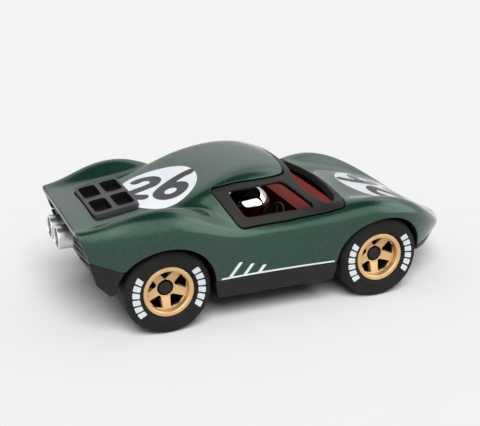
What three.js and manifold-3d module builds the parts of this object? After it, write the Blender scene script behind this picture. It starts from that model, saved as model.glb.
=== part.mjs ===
// Stylised 1960s sports-racing coupe, a desk-size collector's car.
// Millimetres, +X towards the nose, +Y towards the car's left side, +Z up.
// The origin is on the ground, under the middle of the overall box.

import * as THREE from 'three';
import { mergeVertices } from 'three/addons/utils/BufferGeometryUtils.js';
import Module from 'manifold-3d';

const wasm = await Module();
wasm.setup();

// ---------------------------------------------------------------- driving dimensions

const WHEELBASE = 145;
const REAR_AXLE_X = -80.5;
const FRONT_AXLE_X = REAR_AXLE_X + WHEELBASE;
const TYRE_RADIUS = 27.6;
const TYRE_WIDTH = 24.5;
const RIM_RADIUS = 16.2;
const RIM_LIP = 3.1;
const WHEEL_FACE_Y = 56.8; // outer face of a rim, from the centre plane
const TYRE_BULGE = 0.7; // a tyre's side wall stands proud of the rim face
const AXLE_HEIGHT = TYRE_RADIUS;
const AXLE_RADIUS = 2;
const SHELL = 2.6; // wall of the body, the pan and the frame's outer layer
const FRAME_DEPTH = 4.4; // full depth of the greenhouse frame with its roof lining
const GAP = 0.3; // between pieces that touch
const FLOOR_Z = 17;
const FLOOR_THICK = 3;
const WELL_INNER_Y = 29.4; // inner wall of the wheel wells
const WELL_WALL = 1.6;

// The tail is cut by a plane that leans forward as it goes down.
const TAIL_TOP = { x: REAR_AXLE_X - 52.7, z: 69.3 };
const TAIL_LEAN = 0.29;
const tailX = (z) => TAIL_TOP.x + (TAIL_TOP.z - z) * TAIL_LEAN;

// The roof panel ends on one level line along both sides.
const ROOF_EDGE_Z = 86.8;

// The wheel arches are half ellipses over the axle height, with edges that spread below it.
const ARCHES = [
  { x: REAR_AXLE_X - 0.8, half: 31, height: 30 },
  { x: FRONT_AXLE_X + 0.6, half: 31.2, height: 28.6 },
];
const ARCH_SPREAD = 0.2; // outwards for each mm below the axle height

const SCREWS = [[20, -20], [20, 20], [132, -18], [132, 18]].map(([x, y]) => [x + REAR_AXLE_X, y]);
const SCREW = { post: 3.6, pilot: 1.6, shank: 1.8, head: 3.9, headDepth: 1.8 };
const SCREW_POST_TOP = [82, 82, 70, 70];

const VENT = { x0: REAR_AXLE_X - 36.5, x1: REAR_AXLE_X - 8, half: 27.5, depth: 6.5, z: 74.4, slope: 0.165 };
const POCKET = { dx: 7, y: 13.5, halfX: 5.4, halfY: 10.5, reach: 3, depth: 5 };

const EXHAUST = { radius: 7.6, bore: 6.3, y: 9.8, z: 54.5, tip: -57, length: 20 };

// The slatted tail panel is a leaning slab, whose lower middle is bowed backwards.
const FASCIA = { foot: 38.4, middleFoot: 46, middle: 15, top: 66, half: 46, near: 2, far: 5, bow: 3.5 };
const SLOT = { height: 1.8, depth: 1.6, outer: 40, topOuter: 38, topZ: 63.2 };
const SLOT_ROWS = [[45, 25], [49.6, 19.5], [54.2, 19.5], [58.8, 19.5]]; // height and inner end

const DRIVER_Y = -19;
const SEAT_X = REAR_AXLE_X + 50;
const HELMET = { radius: 14, x: SEAT_X + 17, z: 63.5, form: [1.06, 0.94, 0.86] };
const STEERING = { x: SEAT_X + 37, z: 52, radius: 8.5, tube: 0.9, tilt: 0.45 };

// ---------------------------------------------------------------- body surface

// One row for each station along the car. x is measured from the rear axle. The pairs are
// [half width, height] of the lines that shape the skin: roof knee, valley, fender crest,
// shoulder, waist, lower side and sill. spine and brow are heights on and near the centre.
const STATIONS = [
  //  x   spine  brow     knee        valley       crest       shoulder    waist      lower       sill
  [-63, 71, 70.5, [32, 70], [40.5, 70], [44.5, 70], [48, 66.5], [48, 52], [45.5, 36], [42, 19]],
  [-52, 70.3, 69.8, [32, 69], [42, 69.3], [48, 70.5], [51.5, 65.5], [51, 52], [48, 36], [45, 19]],
  [-39, 70.5, 70, [32, 69], [42, 68.8], [49.5, 74], [56, 66.5], [55, 52], [52, 36], [49, 19]],
  [-24, 72.7, 72.3, [33, 71.2], [42, 70], [51, 81], [61.5, 71], [60, 52], [56, 36], [53, 18]],
  [-10, 75.2, 74.8, [34, 73.3], [42.5, 71], [52, 84.5], [65, 73.5], [63.5, 52], [58.5, 35], [54.5, 18]],
  [5, 77.2, 76.8, [37, 75.8], [43.5, 71.8], [52, 84.5], [66, 73.5], [64, 52], [59, 33], [55, 17]],
  [19.5, 80.2, 79.7, [40.5, 81.2], [45.5, 73.5], [51.5, 78.5], [64.5, 69.5], [62.5, 50], [58.5, 32], [55, 17]],
  [34, 87.2, 86.3, [42, 87.3], [46, 75], [51, 68.5], [60.5, 63], [59.5, 49], [57.5, 31], [55, 17]],
  [48.5, 92.3, 91.4, [41.3, 90.6], [46, 75], [50.5, 62], [57.5, 58.5], [57, 47], [56.5, 31], [55, 17]],
  [63, 95, 94, [40.5, 92], [45.5, 74.5], [50.5, 60.5], [56.5, 57.5], [56, 47], [56, 31], [55, 17]],
  [77.5, 94.5, 93.5, [39, 91], [45, 74.5], [50.5, 60.5], [56.5, 57.5], [56, 47], [56, 31], [55, 17]],
  [91, 90.5, 89.5, [37.5, 86.5], [44.5, 73], [50.5, 61.5], [57, 58], [56.5, 47], [56, 31], [55, 17]],
  [104, 81.5, 81, [36, 78.5], [44.5, 70.5], [51, 63.5], [58, 58.5], [57, 47], [56.5, 31], [55, 17]],
  [117, 72.5, 72, [36, 70], [44.5, 68], [52, 66.5], [60, 60], [58.5, 47], [57, 31], [55.5, 17]],
  [130, 67.5, 67, [35, 65.8], [43.5, 66.5], [53, 70.2], [62.5, 63], [61, 48], [58.5, 32], [56, 17]],
  [144, 65.5, 65, [34, 63.3], [42.5, 64.8], [53.5, 71.6], [64, 63.5], [62, 48], [59, 33], [56, 17]],
  [158.5, 62.5, 62, [32, 60], [41, 61.5], [51.5, 68.6], [62, 61.5], [60.5, 47], [57.5, 33], [54.5, 17]],
  [173, 57, 56.5, [29, 54.5], [37, 56], [47.5, 62], [57.5, 56.5], [56, 44], [53.5, 31], [50, 17]],
  [188, 50, 49.5, [25, 48.5], [33, 48.8], [40.5, 51.8], [49.5, 48], [48, 38.5], [45, 28], [41, 20]],
  [200.5, 42.5, 42, [21.5, 41.5], [27, 41.8], [33, 42.2], [39.2, 38.8], [35, 31.5], [29, 25.5], [25, 20]],
  [209, 37, 37, [16, 36.7], [20, 36.4], [23, 35.8], [26, 33.6], [22.5, 29.5], [18, 25.5], [15, 22]],
  [215, 34, 34, [9, 33.8], [11.5, 33.6], [13.5, 33.3], [15.5, 32.2], [13.5, 30], [11.5, 27.5], [10, 25.5]],
  [218, 32.8, 32.8, [3, 32.8], [4, 32.7], [5, 32.5], [6, 32], [5.5, 31], [4.5, 30], [3.5, 29]],
];

// Facets along and across the car, for the skin and for the coarser inner faces.
const SKIN_STEPS = [28, 24];
const INNER_STEPS = [20, 18];

// Control points of one station from the right sill over the centre to the left sill.
function stationRow([x, spine, brow, ...pairs]) {
  const left = [[pairs[0][0] / 2, brow], ...pairs].map(([y, z]) => [x + REAR_AXLE_X, y, z]);
  const right = left.map(([px, py, pz]) => [px, -py, pz]).reverse();
  return [...right, [x + REAR_AXLE_X, 0, spine], ...left];
}

// Uniform cubic B-spline through a list of 3-vectors, from its first to its last point.
function spline(points, t) {
  const last = points.length - 1;
  const mirror = (a, b) => a.map((v, k) => 2 * v - b[k]);
  const c = [mirror(points[0], points[1]), ...points, mirror(points[last], points[last - 1])];
  const spans = c.length - 3;
  const i = Math.min(Math.floor(t * spans), spans - 1);
  const f = t * spans - i;
  const w = [(1 - f) ** 3, 3 * f ** 3 - 6 * f * f + 4, -3 * f ** 3 + 3 * f * f + 3 * f + 1, f ** 3];
  return [0, 1, 2].map((k) => w.reduce((sum, wi, j) => sum + (wi * c[i + j][k]) / 6, 0));
}

const CONTROL = STATIONS.map(stationRow);

// Cross-section of the skin at a place from 0, behind the tail, to 1, the nose tip.
function section(t, steps) {
  const row = CONTROL[0].map((_, j) => spline(CONTROL.map((r) => r[j]), t));
  return Array.from({ length: steps + 1 }, (_, k) => spline(row, k / steps));
}

// The section moved inwards by a wall thickness, in its own plane.
function inset(points, wall) {
  return points.map((p, k) => {
    const a = points[Math.max(k - 1, 0)];
    const b = points[Math.min(k + 1, points.length - 1)];
    const length = Math.hypot(b[1] - a[1], b[2] - a[2]);
    const ny = -(b[2] - a[2]) / length;
    const nz = (b[1] - a[1]) / length;
    return [p[0], p[1] - ny * wall, p[2] - nz * wall];
  });
}

// ---------------------------------------------------------------- solids

function solid(geometry) {
  geometry.deleteAttribute('normal');
  geometry.deleteAttribute('uv');
  const merged = mergeVertices(geometry, 1e-4);
  return new wasm.Manifold(new wasm.Mesh({
    numProp: 3,
    vertProperties: new Float32Array(merged.attributes.position.array),
    triVerts: new Uint32Array(merged.index.array),
  }));
}

function geometryOf(manifold) {
  const mesh = manifold.getMesh();
  const geometry = new THREE.BufferGeometry();
  geometry.setAttribute('position', new THREE.BufferAttribute(new Float32Array(mesh.vertProperties), 3));
  geometry.setIndex(new THREE.BufferAttribute(new Uint32Array(mesh.triVerts), 1));
  geometry.computeVertexNormals();
  return geometry;
}

// Solid through a list of rings with the same number of points, closed by a fan at both ends.
function loft(rings) {
  const n = rings[0].length;
  const position = rings.flat(2);
  const index = [];
  for (let i = 0; i + 1 < rings.length; i += 1) {
    for (let k = 0; k < n; k += 1) {
      const a = i * n + k;
      const b = i * n + ((k + 1) % n);
      index.push(a, a + n, b, b, a + n, b + n);
    }
  }
  for (const [ring, start, flip] of [[rings[0], 0, false], [rings.at(-1), (rings.length - 1) * n, true]]) {
    const centre = position.length / 3;
    position.push(ring[0][0], 0, (Math.min(...ring.map((p) => p[2])) + ring[n >> 1][2]) / 2);
    for (let k = 0; k < n; k += 1) {
      const a = start + k;
      const b = start + ((k + 1) % n);
      index.push(...(flip ? [centre, b, a] : [centre, a, b]));
    }
  }
  const geometry = new THREE.BufferGeometry();
  geometry.setAttribute('position', new THREE.Float32BufferAttribute(position, 3));
  geometry.setIndex(index);
  return solid(geometry);
}

// The whole body as one solid, its skin moved inwards by a wall thickness. It can end some
// steps short of the nose tip.
function bodySolid(wall, short = 0) {
  const [along, across] = wall > 0 ? INNER_STEPS : SKIN_STEPS;
  const rings = [];
  for (let i = 0; i <= along - short; i += 1) rings.push(inset(section(i / along, across), wall));
  return loft(rings);
}

// Outline through the points with every corner rounded to the same reach.
function rounded(points, reach) {
  const shape = new THREE.Shape();
  points.forEach((point, i) => {
    const corner = new THREE.Vector2(...point);
    const before = new THREE.Vector2(...points.at(i - 1));
    const after = new THREE.Vector2(...points[(i + 1) % points.length]);
    const start = corner.clone().add(before.sub(corner).setLength(reach));
    const end = corner.clone().add(after.sub(corner).setLength(reach));
    if (i === 0) shape.moveTo(start.x, start.y);
    else shape.lineTo(start.x, start.y);
    shape.quadraticCurveTo(corner.x, corner.y, end.x, end.y);
  });
  shape.closePath();
  return shape;
}

const polygon = (points) => new THREE.Shape(points.map((p) => new THREE.Vector2(...p)));

// Side-view outline in x and z, extruded across the car from y0 to y1.
function acrossCar(shape, y0, y1, curveSegments = 4) {
  const geometry = new THREE.ExtrudeGeometry(shape, { depth: y1 - y0, bevelEnabled: false, curveSegments });
  geometry.rotateX(Math.PI / 2);
  geometry.translate(0, y1, 0);
  return geometry;
}

// Plan outline in x and y, extruded upwards from z0 to z1.
function upward(shape, z0, z1, curveSegments = 4) {
  const geometry = new THREE.ExtrudeGeometry(shape, { depth: z1 - z0, bevelEnabled: false, curveSegments });
  geometry.translate(0, 0, z0);
  return geometry;
}

function box(x0, x1, y0, y1, z0, z1) {
  const geometry = new THREE.BoxGeometry(x1 - x0, y1 - y0, z1 - z0);
  geometry.translate((x0 + x1) / 2, (y0 + y1) / 2, (z0 + z1) / 2);
  return solid(geometry);
}

// Cylinder along Y, as every wheel, axle and arch is.
function roundBar(radius, x, y0, y1, z, segments = 24) {
  const geometry = new THREE.CylinderGeometry(radius, radius, y1 - y0, segments);
  geometry.translate(x, (y0 + y1) / 2, z);
  return solid(geometry);
}

function post(radius, x, y, z0, z1, segments = 16) {
  const geometry = new THREE.CylinderGeometry(radius, radius, z1 - z0, segments);
  geometry.rotateX(Math.PI / 2);
  geometry.translate(x, y, (z0 + z1) / 2);
  return solid(geometry);
}

const fromRearAxle = (points) => points.map(([x, z]) => [x + REAR_AXLE_X, z]);

// ---------------------------------------------------------------- shared cutters

const WIDE = 80; // reaches past both sides of the car
const HIGH = 120; // reaches past the roof

// The painted shell ends along this line, and the charcoal pan carries on below it.
const SHELL_LINE = fromRearAxle([
  [-70, 58.8], [-46.8, 51.4], [-38.7, 48.4], [-27, 44], [-20, 29.4], [114, 28.6], [120, 27.6],
  [170, 27.6], [180, 29.2], [190, 30.8], [230, 30.8],
]);
const upperRegion = (lift) => acrossCar(polygon([
  ...SHELL_LINE.map(([x, z]) => [x, z + lift]), [SHELL_LINE.at(-1)[0], HIGH], [SHELL_LINE[0][0], HIGH],
]), -WIDE, WIDE);

// Everything in front of the leaning tail plane, which is moved forward by an inset.
const beforeTail = (insetBy) => acrossCar(polygon([
  [tailX(0) + insetBy, 0], [FRONT_AXLE_X + 100, 0], [FRONT_AXLE_X + 100, HIGH], [tailX(HIGH) + insetBy, HIGH],
]), -WIDE, WIDE);

// Side outline of a wheel arch, larger all round by grow.
function archOutline({ x, half, height }, grow) {
  const a = half + grow;
  const curve = Array.from({ length: 21 }, (_, i) => {
    const turn = (Math.PI * i) / 20;
    return [x + a * Math.cos(turn), AXLE_HEIGHT + (height + grow) * Math.sin(turn)];
  });
  const spread = a + AXLE_HEIGHT * ARCH_SPREAD;
  return polygon([...curve, [x - spread, 0], [x + spread, 0]]);
}

// Plan curve symmetrical about the centre plane: x is nose on the centre and falls by drop
// at the half width.
function planArc(nose, drop, half, steps = 8) {
  return Array.from({ length: steps + 1 }, (_, i) => {
    const y = -half + (2 * half * i) / steps;
    return [nose - drop * (y / half) ** 2 + REAR_AXLE_X, y];
  });
}

// The greenhouse opening of the body: a band along each side under the roof edge line, and
// all of the skin between the roof panel's front edge and the cowl.
function greenhouse(grow) {
  const side = fromRearAxle([
    [31.8 - grow, 84.4 + grow], [48 - grow, 60.1 - grow], [80, 60.4 - grow], [107, 62.5 - grow],
    [121.5 + grow, 65.5 - grow], [121.5 + grow, 75], [100, ROOF_EDGE_Z + grow], [50, ROOF_EDGE_Z + grow],
  ]);
  const front = [...planArc(88.8 - grow, 4, 38), ...planArc(125.5 + grow, 3.5, 46 + grow).reverse()];
  return solid(acrossCar(rounded(side, 4), -WIDE, WIDE))
    .add(solid(upward(polygon(front.reverse()), 64.5 - grow, HIGH)));
}

// ---------------------------------------------------------------- pieces

const ventTop = (x) => VENT.z + (x - (VENT.x0 + VENT.x1) / 2) * VENT.slope;

// Block under the sloping top face of the vent plate, larger all round by grow.
function ventBlock(grow, depth) {
  const plan = rounded([
    [VENT.x0 - grow, -VENT.half - grow], [VENT.x1 + grow, -VENT.half - grow],
    [VENT.x1 + grow, VENT.half + grow], [VENT.x0 - grow, VENT.half + grow],
  ], 4);
  const slab = acrossCar(polygon([
    [VENT.x0 - 2, ventTop(VENT.x0 - 2) - depth], [VENT.x1 + 2, ventTop(VENT.x1 + 2) - depth],
    [VENT.x1 + 2, ventTop(VENT.x1 + 2) + grow * 20], [VENT.x0 - 2, ventTop(VENT.x0 - 2) + grow * 20],
  ]), -WIDE, WIDE);
  return solid(upward(plan, 40, HIGH)).intersect(solid(slab));
}

function bodyShell() {
  let shell = bodySolid(0)
    .intersect(solid(upperRegion(GAP)))
    .intersect(solid(beforeTail(0)))
    .subtract(bodySolid(SHELL, 1))
    .subtract(greenhouse(GAP))
    .subtract(ventBlock(GAP, VENT.depth + 4));
  for (const arch of ARCHES) shell = shell.subtract(solid(acrossCar(archOutline(arch, 0), -WIDE, WIDE)));
  SCREWS.forEach(([x, y], i) => {
    shell = shell.add(post(SCREW.post, x, y, FLOOR_Z + FLOOR_THICK + GAP, SCREW_POST_TOP[i])
      .intersect(bodySolid(SHELL / 2)))
      .subtract(post(SCREW.pilot, x, y, FLOOR_Z, FLOOR_Z + FLOOR_THICK + 12, 10));
  });
  return shell;
}

function greenhouseFrame() {
  const sideWindow = rounded(fromRearAxle([[43.2, 81.9], [81.5, 83], [101.5, 66.3], [53.1, 65.7]]), 3.5);
  const screen = rounded([
    ...planArc(93.5, 3, 38), ...fromRearAxle([[110.5, 47.5], [115.5, 46.5]]),
    ...planArc(123, 5.5, 42).reverse(), ...fromRearAxle([[115.5, -46.5], [110.5, -47.5]]),
  ].reverse(), 2.4);
  const ring = bodySolid(0).intersect(greenhouse(0));
  const lining = bodySolid(SHELL + GAP)
    .intersect(box(REAR_AXLE_X + 38, REAR_AXLE_X + 92, -45, 45, ROOF_EDGE_Z - 8, HIGH));
  return ring.add(lining)
    .subtract(bodySolid(FRAME_DEPTH))
    .subtract(solid(acrossCar(sideWindow, -WIDE, -25)))
    .subtract(solid(acrossCar(sideWindow, 25, WIDE)))
    .subtract(solid(upward(screen, 50, HIGH, 2)));
}

// Liner of one wheel well, with the inner wall that carries the axle.
function wheelWell(arch, side) {
  const out = 54;
  const span = (y0, y1) => (side > 0 ? [y0, y1] : [-y1, -y0]);
  const liner = solid(acrossCar(archOutline(arch, WELL_WALL), ...span(WELL_INNER_Y, out)));
  const hollow = solid(acrossCar(archOutline(arch, 0), ...span(WELL_INNER_Y + WELL_WALL, WIDE)));
  return { liner, hollow };
}

function chassisPan() {
  const bottom = fromRearAxle([
    [-70, 36.5], [-43.3, 36.5], [-35.3, 28.4], [-30, 28.4], [-14, FLOOR_Z], [156, FLOOR_Z],
    [176, 25], [190, 25.2], [230, 27.5],
  ]);
  const aboveBottom = polygon([...bottom, [REAR_AXLE_X + 230, HIGH], [REAR_AXLE_X - 70, HIGH]]);
  const region = polygon([...bottom, ...SHELL_LINE.slice().reverse()]);
  const floorTop = [
    ...fromRearAxle([[-70, 38], [-41, 38], [-33.5, 31.4]]),
    ...bottom.slice(3).map(([x, z]) => [x, z + FLOOR_THICK]),
  ];
  const inside = polygon([...floorTop, [REAR_AXLE_X + 230, HIGH], [REAR_AXLE_X - 70, HIGH]]);
  let pan = bodySolid(0)
    .intersect(solid(acrossCar(region, -WIDE, WIDE)))
    .intersect(solid(beforeTail(0)))
    .subtract(bodySolid(SHELL, 1).intersect(solid(acrossCar(inside, -WIDE, WIDE))));
  for (const arch of ARCHES) {
    for (const side of [-1, 1]) {
      const { liner, hollow } = wheelWell(arch, side);
      const within = bodySolid(SHELL + GAP).intersect(solid(acrossCar(aboveBottom, -WIDE, WIDE)));
      pan = pan.add(liner.intersect(within)).subtract(hollow);
    }
  }
  for (const x of [REAR_AXLE_X, FRONT_AXLE_X]) {
    pan = pan.subtract(roundBar(AXLE_RADIUS + 0.4, x, -WIDE, WIDE, AXLE_HEIGHT, 16));
  }
  for (const [x, y] of SCREWS) {
    pan = pan.subtract(post(SCREW.shank, x, y, 0, FLOOR_Z + FLOOR_THICK + 1, 10))
      .subtract(post(SCREW.head, x, y, 0, FLOOR_Z + SCREW.headDepth));
  }
  return pan;
}

// Lower edge of the slatted panel: level under the pipes, then falling to the sides.
function fasciaFoot(y) {
  const out = (Math.abs(y) - FASCIA.middle) / (FASCIA.half - 2 - FASCIA.middle);
  return FASCIA.middleFoot + (FASCIA.foot - FASCIA.middleFoot) * THREE.MathUtils.clamp(out, 0, 1);
}

// Leaning slab between two distances in front of the tail plane, bowed in its lower middle.
function fasciaSlab(near, far) {
  const geometry = new THREE.BoxGeometry(1, 1, 1, 1, 24, 6);
  const points = geometry.attributes.position;
  for (let i = 0; i < points.count; i += 1) {
    const y = 2 * points.getY(i) * FASCIA.half;
    const rise = points.getZ(i) + 0.5;
    const z = fasciaFoot(y) + (FASCIA.top - fasciaFoot(y)) * rise;
    const bow = FASCIA.bow * (1 - (y / FASCIA.half) ** 2) * (1 - rise);
    points.setXYZ(i, tailX(z) + (points.getX(i) > 0 ? far : near) - bow, y, z);
  }
  return solid(geometry);
}

function rearFascia() {
  const { near, far } = FASCIA;
  const behind = [-150, 0];
  const cut = fasciaSlab(near - 4, near + SLOT.depth);
  const slot = (y0, y1, z) => box(...behind, y0, y1, z, z + SLOT.height).intersect(cut);
  let panel = bodySolid(SHELL + GAP)
    .intersect(fasciaSlab(near, far))
    .subtract(slot(-SLOT.topOuter, SLOT.topOuter, SLOT.topZ));
  for (const side of [-1, 1]) {
    for (const [z, inner] of SLOT_ROWS) {
      const [y0, y1] = side > 0 ? [inner, SLOT.outer] : [-SLOT.outer, -inner];
      panel = panel.subtract(slot(y0, y1, z));
    }
    const hole = new THREE.CylinderGeometry(EXHAUST.radius + GAP, EXHAUST.radius + GAP, 60, 20);
    hole.rotateZ(Math.PI / 2);
    hole.translate(REAR_AXLE_X - 50, side * EXHAUST.y, EXHAUST.z);
    panel = panel.subtract(solid(hole));
  }
  return panel;
}

function exhaust() {
  const { radius, bore, length } = EXHAUST;
  const profile = [
    [0, 0], [radius, 0], [radius, length - 0.5], [radius - 0.5, length], [bore, length], [bore, 6], [0, 6],
  ];
  const geometry = new THREE.LatheGeometry(profile.map((p) => new THREE.Vector2(...p)), 18);
  geometry.rotateZ(Math.PI / 2); // the open end points backwards
  return solid(geometry);
}

function ventPlate() {
  let plate = ventBlock(0, VENT.depth);
  const middle = (VENT.x0 + VENT.x1) / 2;
  for (const dx of [-POCKET.dx, POCKET.dx]) {
    for (const y of [-POCKET.y, POCKET.y]) {
      const [x0, x1] = [middle + dx - POCKET.halfX, middle + dx + POCKET.halfX];
      const [y0, y1] = [y - POCKET.halfY, y + POCKET.halfY];
      const pocket = rounded([[x0, y0], [x1, y0], [x1, y1], [x0, y1]], POCKET.reach);
      plate = plate.subtract(solid(upward(pocket, VENT.z - POCKET.depth, HIGH)));
    }
  }
  return plate;
}

// Open red tub: floor, door linings, rear bulkhead, and a dash that slopes up to the screen.
function interiorTub() {
  const outer = fromRearAxle([
    [44, 20.5], [108.5, 20.5], [108.5, 56], [121, 63.2], [117, 65.3], [97, 60], [44, 60],
  ]);
  const inner = fromRearAxle([[46, 22.5], [104.5, 22.5], [98.5, 56.5], [94.5, 62], [46, 62]]);
  const plan = fromRearAxle([[44, -49], [90, -49], [124, -38], [124, 38], [90, 49], [44, 49]]);
  return solid(acrossCar(polygon(outer), -49, 49))
    .intersect(solid(upward(polygon(plan), 0, HIGH)))
    .intersect(bodySolid(FRAME_DEPTH + GAP))
    .subtract(solid(acrossCar(polygon(inner), -47, 47)).intersect(bodySolid(FRAME_DEPTH + 2)));
}

function driverSeat() {
  const profile = polygon([
    [0, 0], [26, 0], [27, 9], [23, 10.5], [8.5, 8], [3.5, 30], [-1.5, 34], [-3, 32],
  ].map(([x, z]) => [x + SEAT_X, z + 22.8]));
  return solid(acrossCar(profile, DRIVER_Y - 13, DRIVER_Y + 13));
}

function driverTorso() {
  const profile = [[0, 0], [8.5, 0], [9.5, 12], [10.5, 21], [8, 26], [4.4, 28.5], [4, 31], [0, 31]];
  const geometry = new THREE.LatheGeometry(profile.map((p) => new THREE.Vector2(...p)), 16);
  geometry.rotateX(Math.PI / 2);
  geometry.scale(0.8, 1.1, 0.565);
  geometry.translate(SEAT_X + 17, DRIVER_Y, 33.6);
  return solid(geometry);
}

function driverHelmet() {
  const ball = (radius, around, over) => {
    const geometry = new THREE.SphereGeometry(radius, around, over);
    geometry.scale(...HELMET.form);
    geometry.translate(HELMET.x, DRIVER_Y, HELMET.z);
    return solid(geometry);
  };
  const visor = rounded([
    [HELMET.x + 6.7, HELMET.z - 3.6], [HELMET.x + 20, HELMET.z - 3.6],
    [HELMET.x + 20, HELMET.z + 3.8], [HELMET.x + 6.7, HELMET.z + 3.8],
  ], 1.5);
  const band = solid(acrossCar(visor, DRIVER_Y - 10, DRIVER_Y + 10));
  return ball(HELMET.radius, 18, 10).subtract(band.subtract(ball(HELMET.radius - 1.2, 12, 8)));
}

function steeringWheel() {
  const rim = new THREE.TorusGeometry(STEERING.radius, STEERING.tube, 5, 18);
  let wheel = solid(rim);
  for (let i = 0; i < 3; i += 1) {
    const spoke = new THREE.BoxGeometry(1.6, STEERING.radius, 0.9);
    spoke.translate(0, STEERING.radius / 2, 0);
    spoke.rotateZ((i * 2 * Math.PI) / 3 + Math.PI);
    wheel = wheel.add(solid(spoke));
  }
  const hub = new THREE.CylinderGeometry(1.9, 1.9, 1.4, 12);
  hub.rotateX(Math.PI / 2);
  return wheel.add(solid(hub));
}

function steeringColumn() {
  const rod = new THREE.CylinderGeometry(1.1, 1.1, 13, 12);
  rod.rotateX(Math.PI / 2);
  rod.translate(0, 0, 6.5 + 1);
  return solid(rod);
}

// Closed profiles of the wheel parts: [radius, distance inboard of the wheel face].
function turned(profile, segments) {
  const points = profile.map(([r, inboard]) => new THREE.Vector2(r, -inboard));
  return new THREE.LatheGeometry([...points, points[0].clone()].reverse(), segments);
}

function tyre() {
  const bead = RIM_RADIUS + GAP;
  const inner = TYRE_WIDTH;
  return solid(turned([
    [bead, 0.4], [bead + 2, -TYRE_BULGE], [24, -TYRE_BULGE], [26.4, 0.3], [TYRE_RADIUS, 2.4],
    [TYRE_RADIUS, inner - 2.4], [24, inner + TYRE_BULGE], [bead, inner - 0.4],
  ], 32));
}

const SPOKE = { count: 5, inner: 6.2, outer: 12.2, hub: 5.6 };
const WHEEL_FACETS = 4 * SPOKE.count;

function rim() {
  const width = TYRE_WIDTH - 1;
  const well = RIM_RADIUS - RIM_LIP;
  const barrel = solid(turned([
    [RIM_RADIUS, 0], [RIM_RADIUS, width], [14.4, width], [14.4, 7], [well, 4.5], [well, 0],
  ], WHEEL_FACETS));
  const bore = AXLE_RADIUS + GAP;
  let disc = solid(turned([
    [14.9, 8.4], [SPOKE.hub, 12], [bore, 12], [bore, 8], [SPOKE.hub, 8], [14.9, 4.6],
  ], WHEEL_FACETS));
  const half = (Math.PI / SPOKE.count) * 0.66;
  for (let i = 0; i < SPOKE.count; i += 1) {
    const a = (i * 2 * Math.PI) / SPOKE.count;
    const at = (r, angle) => [r * Math.cos(a + angle), r * Math.sin(a + angle)];
    const window = rounded([
      at(SPOKE.inner, 0), at(SPOKE.outer, -half), at(SPOKE.outer + 0.9, 0), at(SPOKE.outer, half),
    ], 0.9);
    disc = disc.subtract(solid(acrossCar(window, -30, 1, 1)));
  }
  const seat = roundBar(4.6, 0, -9, 0, 0, 20);
  return barrel.add(disc).subtract(seat);
}

function hubCap() {
  return solid(turned([[0, 7.2], [3.7, 7.2], [4.3, 7.8], [4.3, 8.7], [0, 8.7]], 20));
}

function axle() {
  const half = WHEEL_FACE_Y - 9.4;
  return new THREE.CylinderGeometry(AXLE_RADIUS, AXLE_RADIUS, 2 * half, 20);
}

function baseScrew() {
  const profile = [[0, 0.5], [1.2, 0.5], [1.8, 0], [3.5, 0], [3.5, 1.3], [1.3, 1.4], [1.3, 11], [0, 12]];
  const geometry = new THREE.LatheGeometry(profile.map((p) => new THREE.Vector2(...p)), 12);
  geometry.rotateX(Math.PI / 2);
  return solid(geometry);
}

// ---------------------------------------------------------------- materials

const paint = { color: 0x1f3d2e, roughness: 0.22, metalness: 0.45 };
const charcoal = { color: 0x2d2c2a, roughness: 0.55, metalness: 0 };
const frameBlack = { color: 0x3a3937, roughness: 0.6, metalness: 0 };
const slate = { color: 0x55525a, roughness: 0.5, metalness: 0 };
const chrome = { color: 0xd8dadb, roughness: 0.12, metalness: 1 };
const brightMetal = { color: 0xc9cdd0, roughness: 0.25, metalness: 1 };
const gold = { color: 0xc99a5b, roughness: 0.35, metalness: 0.8 };
const rubber = { color: 0x1b1b1c, roughness: 0.75, metalness: 0 };
const capBlack = { color: 0x181818, roughness: 0.5, metalness: 0 };
const red = { color: 0x7c2a1e, roughness: 0.45, metalness: 0 };
const suit = { color: 0x151515, roughness: 0.6, metalness: 0 };

const group = new THREE.Group();

function place(parent, name, shape, look) {
  const geometry = shape.isBufferGeometry ? shape : geometryOf(shape);
  const mesh = new THREE.Mesh(geometry, new THREE.MeshStandardMaterial(look));
  mesh.name = name;
  parent.add(mesh);
  return mesh;
}

// ---------------------------------------------------------------- assembly

place(group, 'body_shell', bodyShell(), paint);
place(group, 'greenhouse_frame', greenhouseFrame(), frameBlack);
place(group, 'chassis_pan', chassisPan(), charcoal);
place(group, 'rear_fascia', rearFascia(), charcoal);
place(group, 'rear_vent_plate', ventPlate(), slate);
place(group, 'interior_tub', interiorTub(), red);
place(group, 'driver_seat', driverSeat(), red);
place(group, 'driver_torso', driverTorso(), suit);
place(group, 'driver_helmet', driverHelmet(), chrome);

for (const [side, y] of [['right', -EXHAUST.y], ['left', EXHAUST.y]]) {
  place(group, `exhaust_${side}`, exhaust(), brightMetal)
    .position.set(REAR_AXLE_X + EXHAUST.tip + EXHAUST.length, y, EXHAUST.z);
}

const steering = new THREE.Group();
steering.position.set(STEERING.x, DRIVER_Y, STEERING.z);
steering.rotation.set(0, Math.PI / 2 + STEERING.tilt, 0);
place(steering, 'steering_wheel', steeringWheel(), capBlack);
place(steering, 'steering_column', steeringColumn(), capBlack);
group.add(steering);

for (const [end, x] of [['rear', REAR_AXLE_X], ['front', FRONT_AXLE_X]]) {
  place(group, `${end}_axle`, axle(), brightMetal).position.set(x, 0, AXLE_HEIGHT);
  for (const [side, turn] of [['left', 0], ['right', Math.PI]]) {
    const wheel = new THREE.Group();
    wheel.position.set(x, turn ? -WHEEL_FACE_Y : WHEEL_FACE_Y, AXLE_HEIGHT);
    wheel.rotation.z = turn;
    place(wheel, `${end}_${side}_tyre`, tyre(), rubber);
    place(wheel, `${end}_${side}_rim`, rim(), gold);
    place(wheel, `${end}_${side}_hub_cap`, hubCap(), capBlack);
    group.add(wheel);
  }
}

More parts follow.
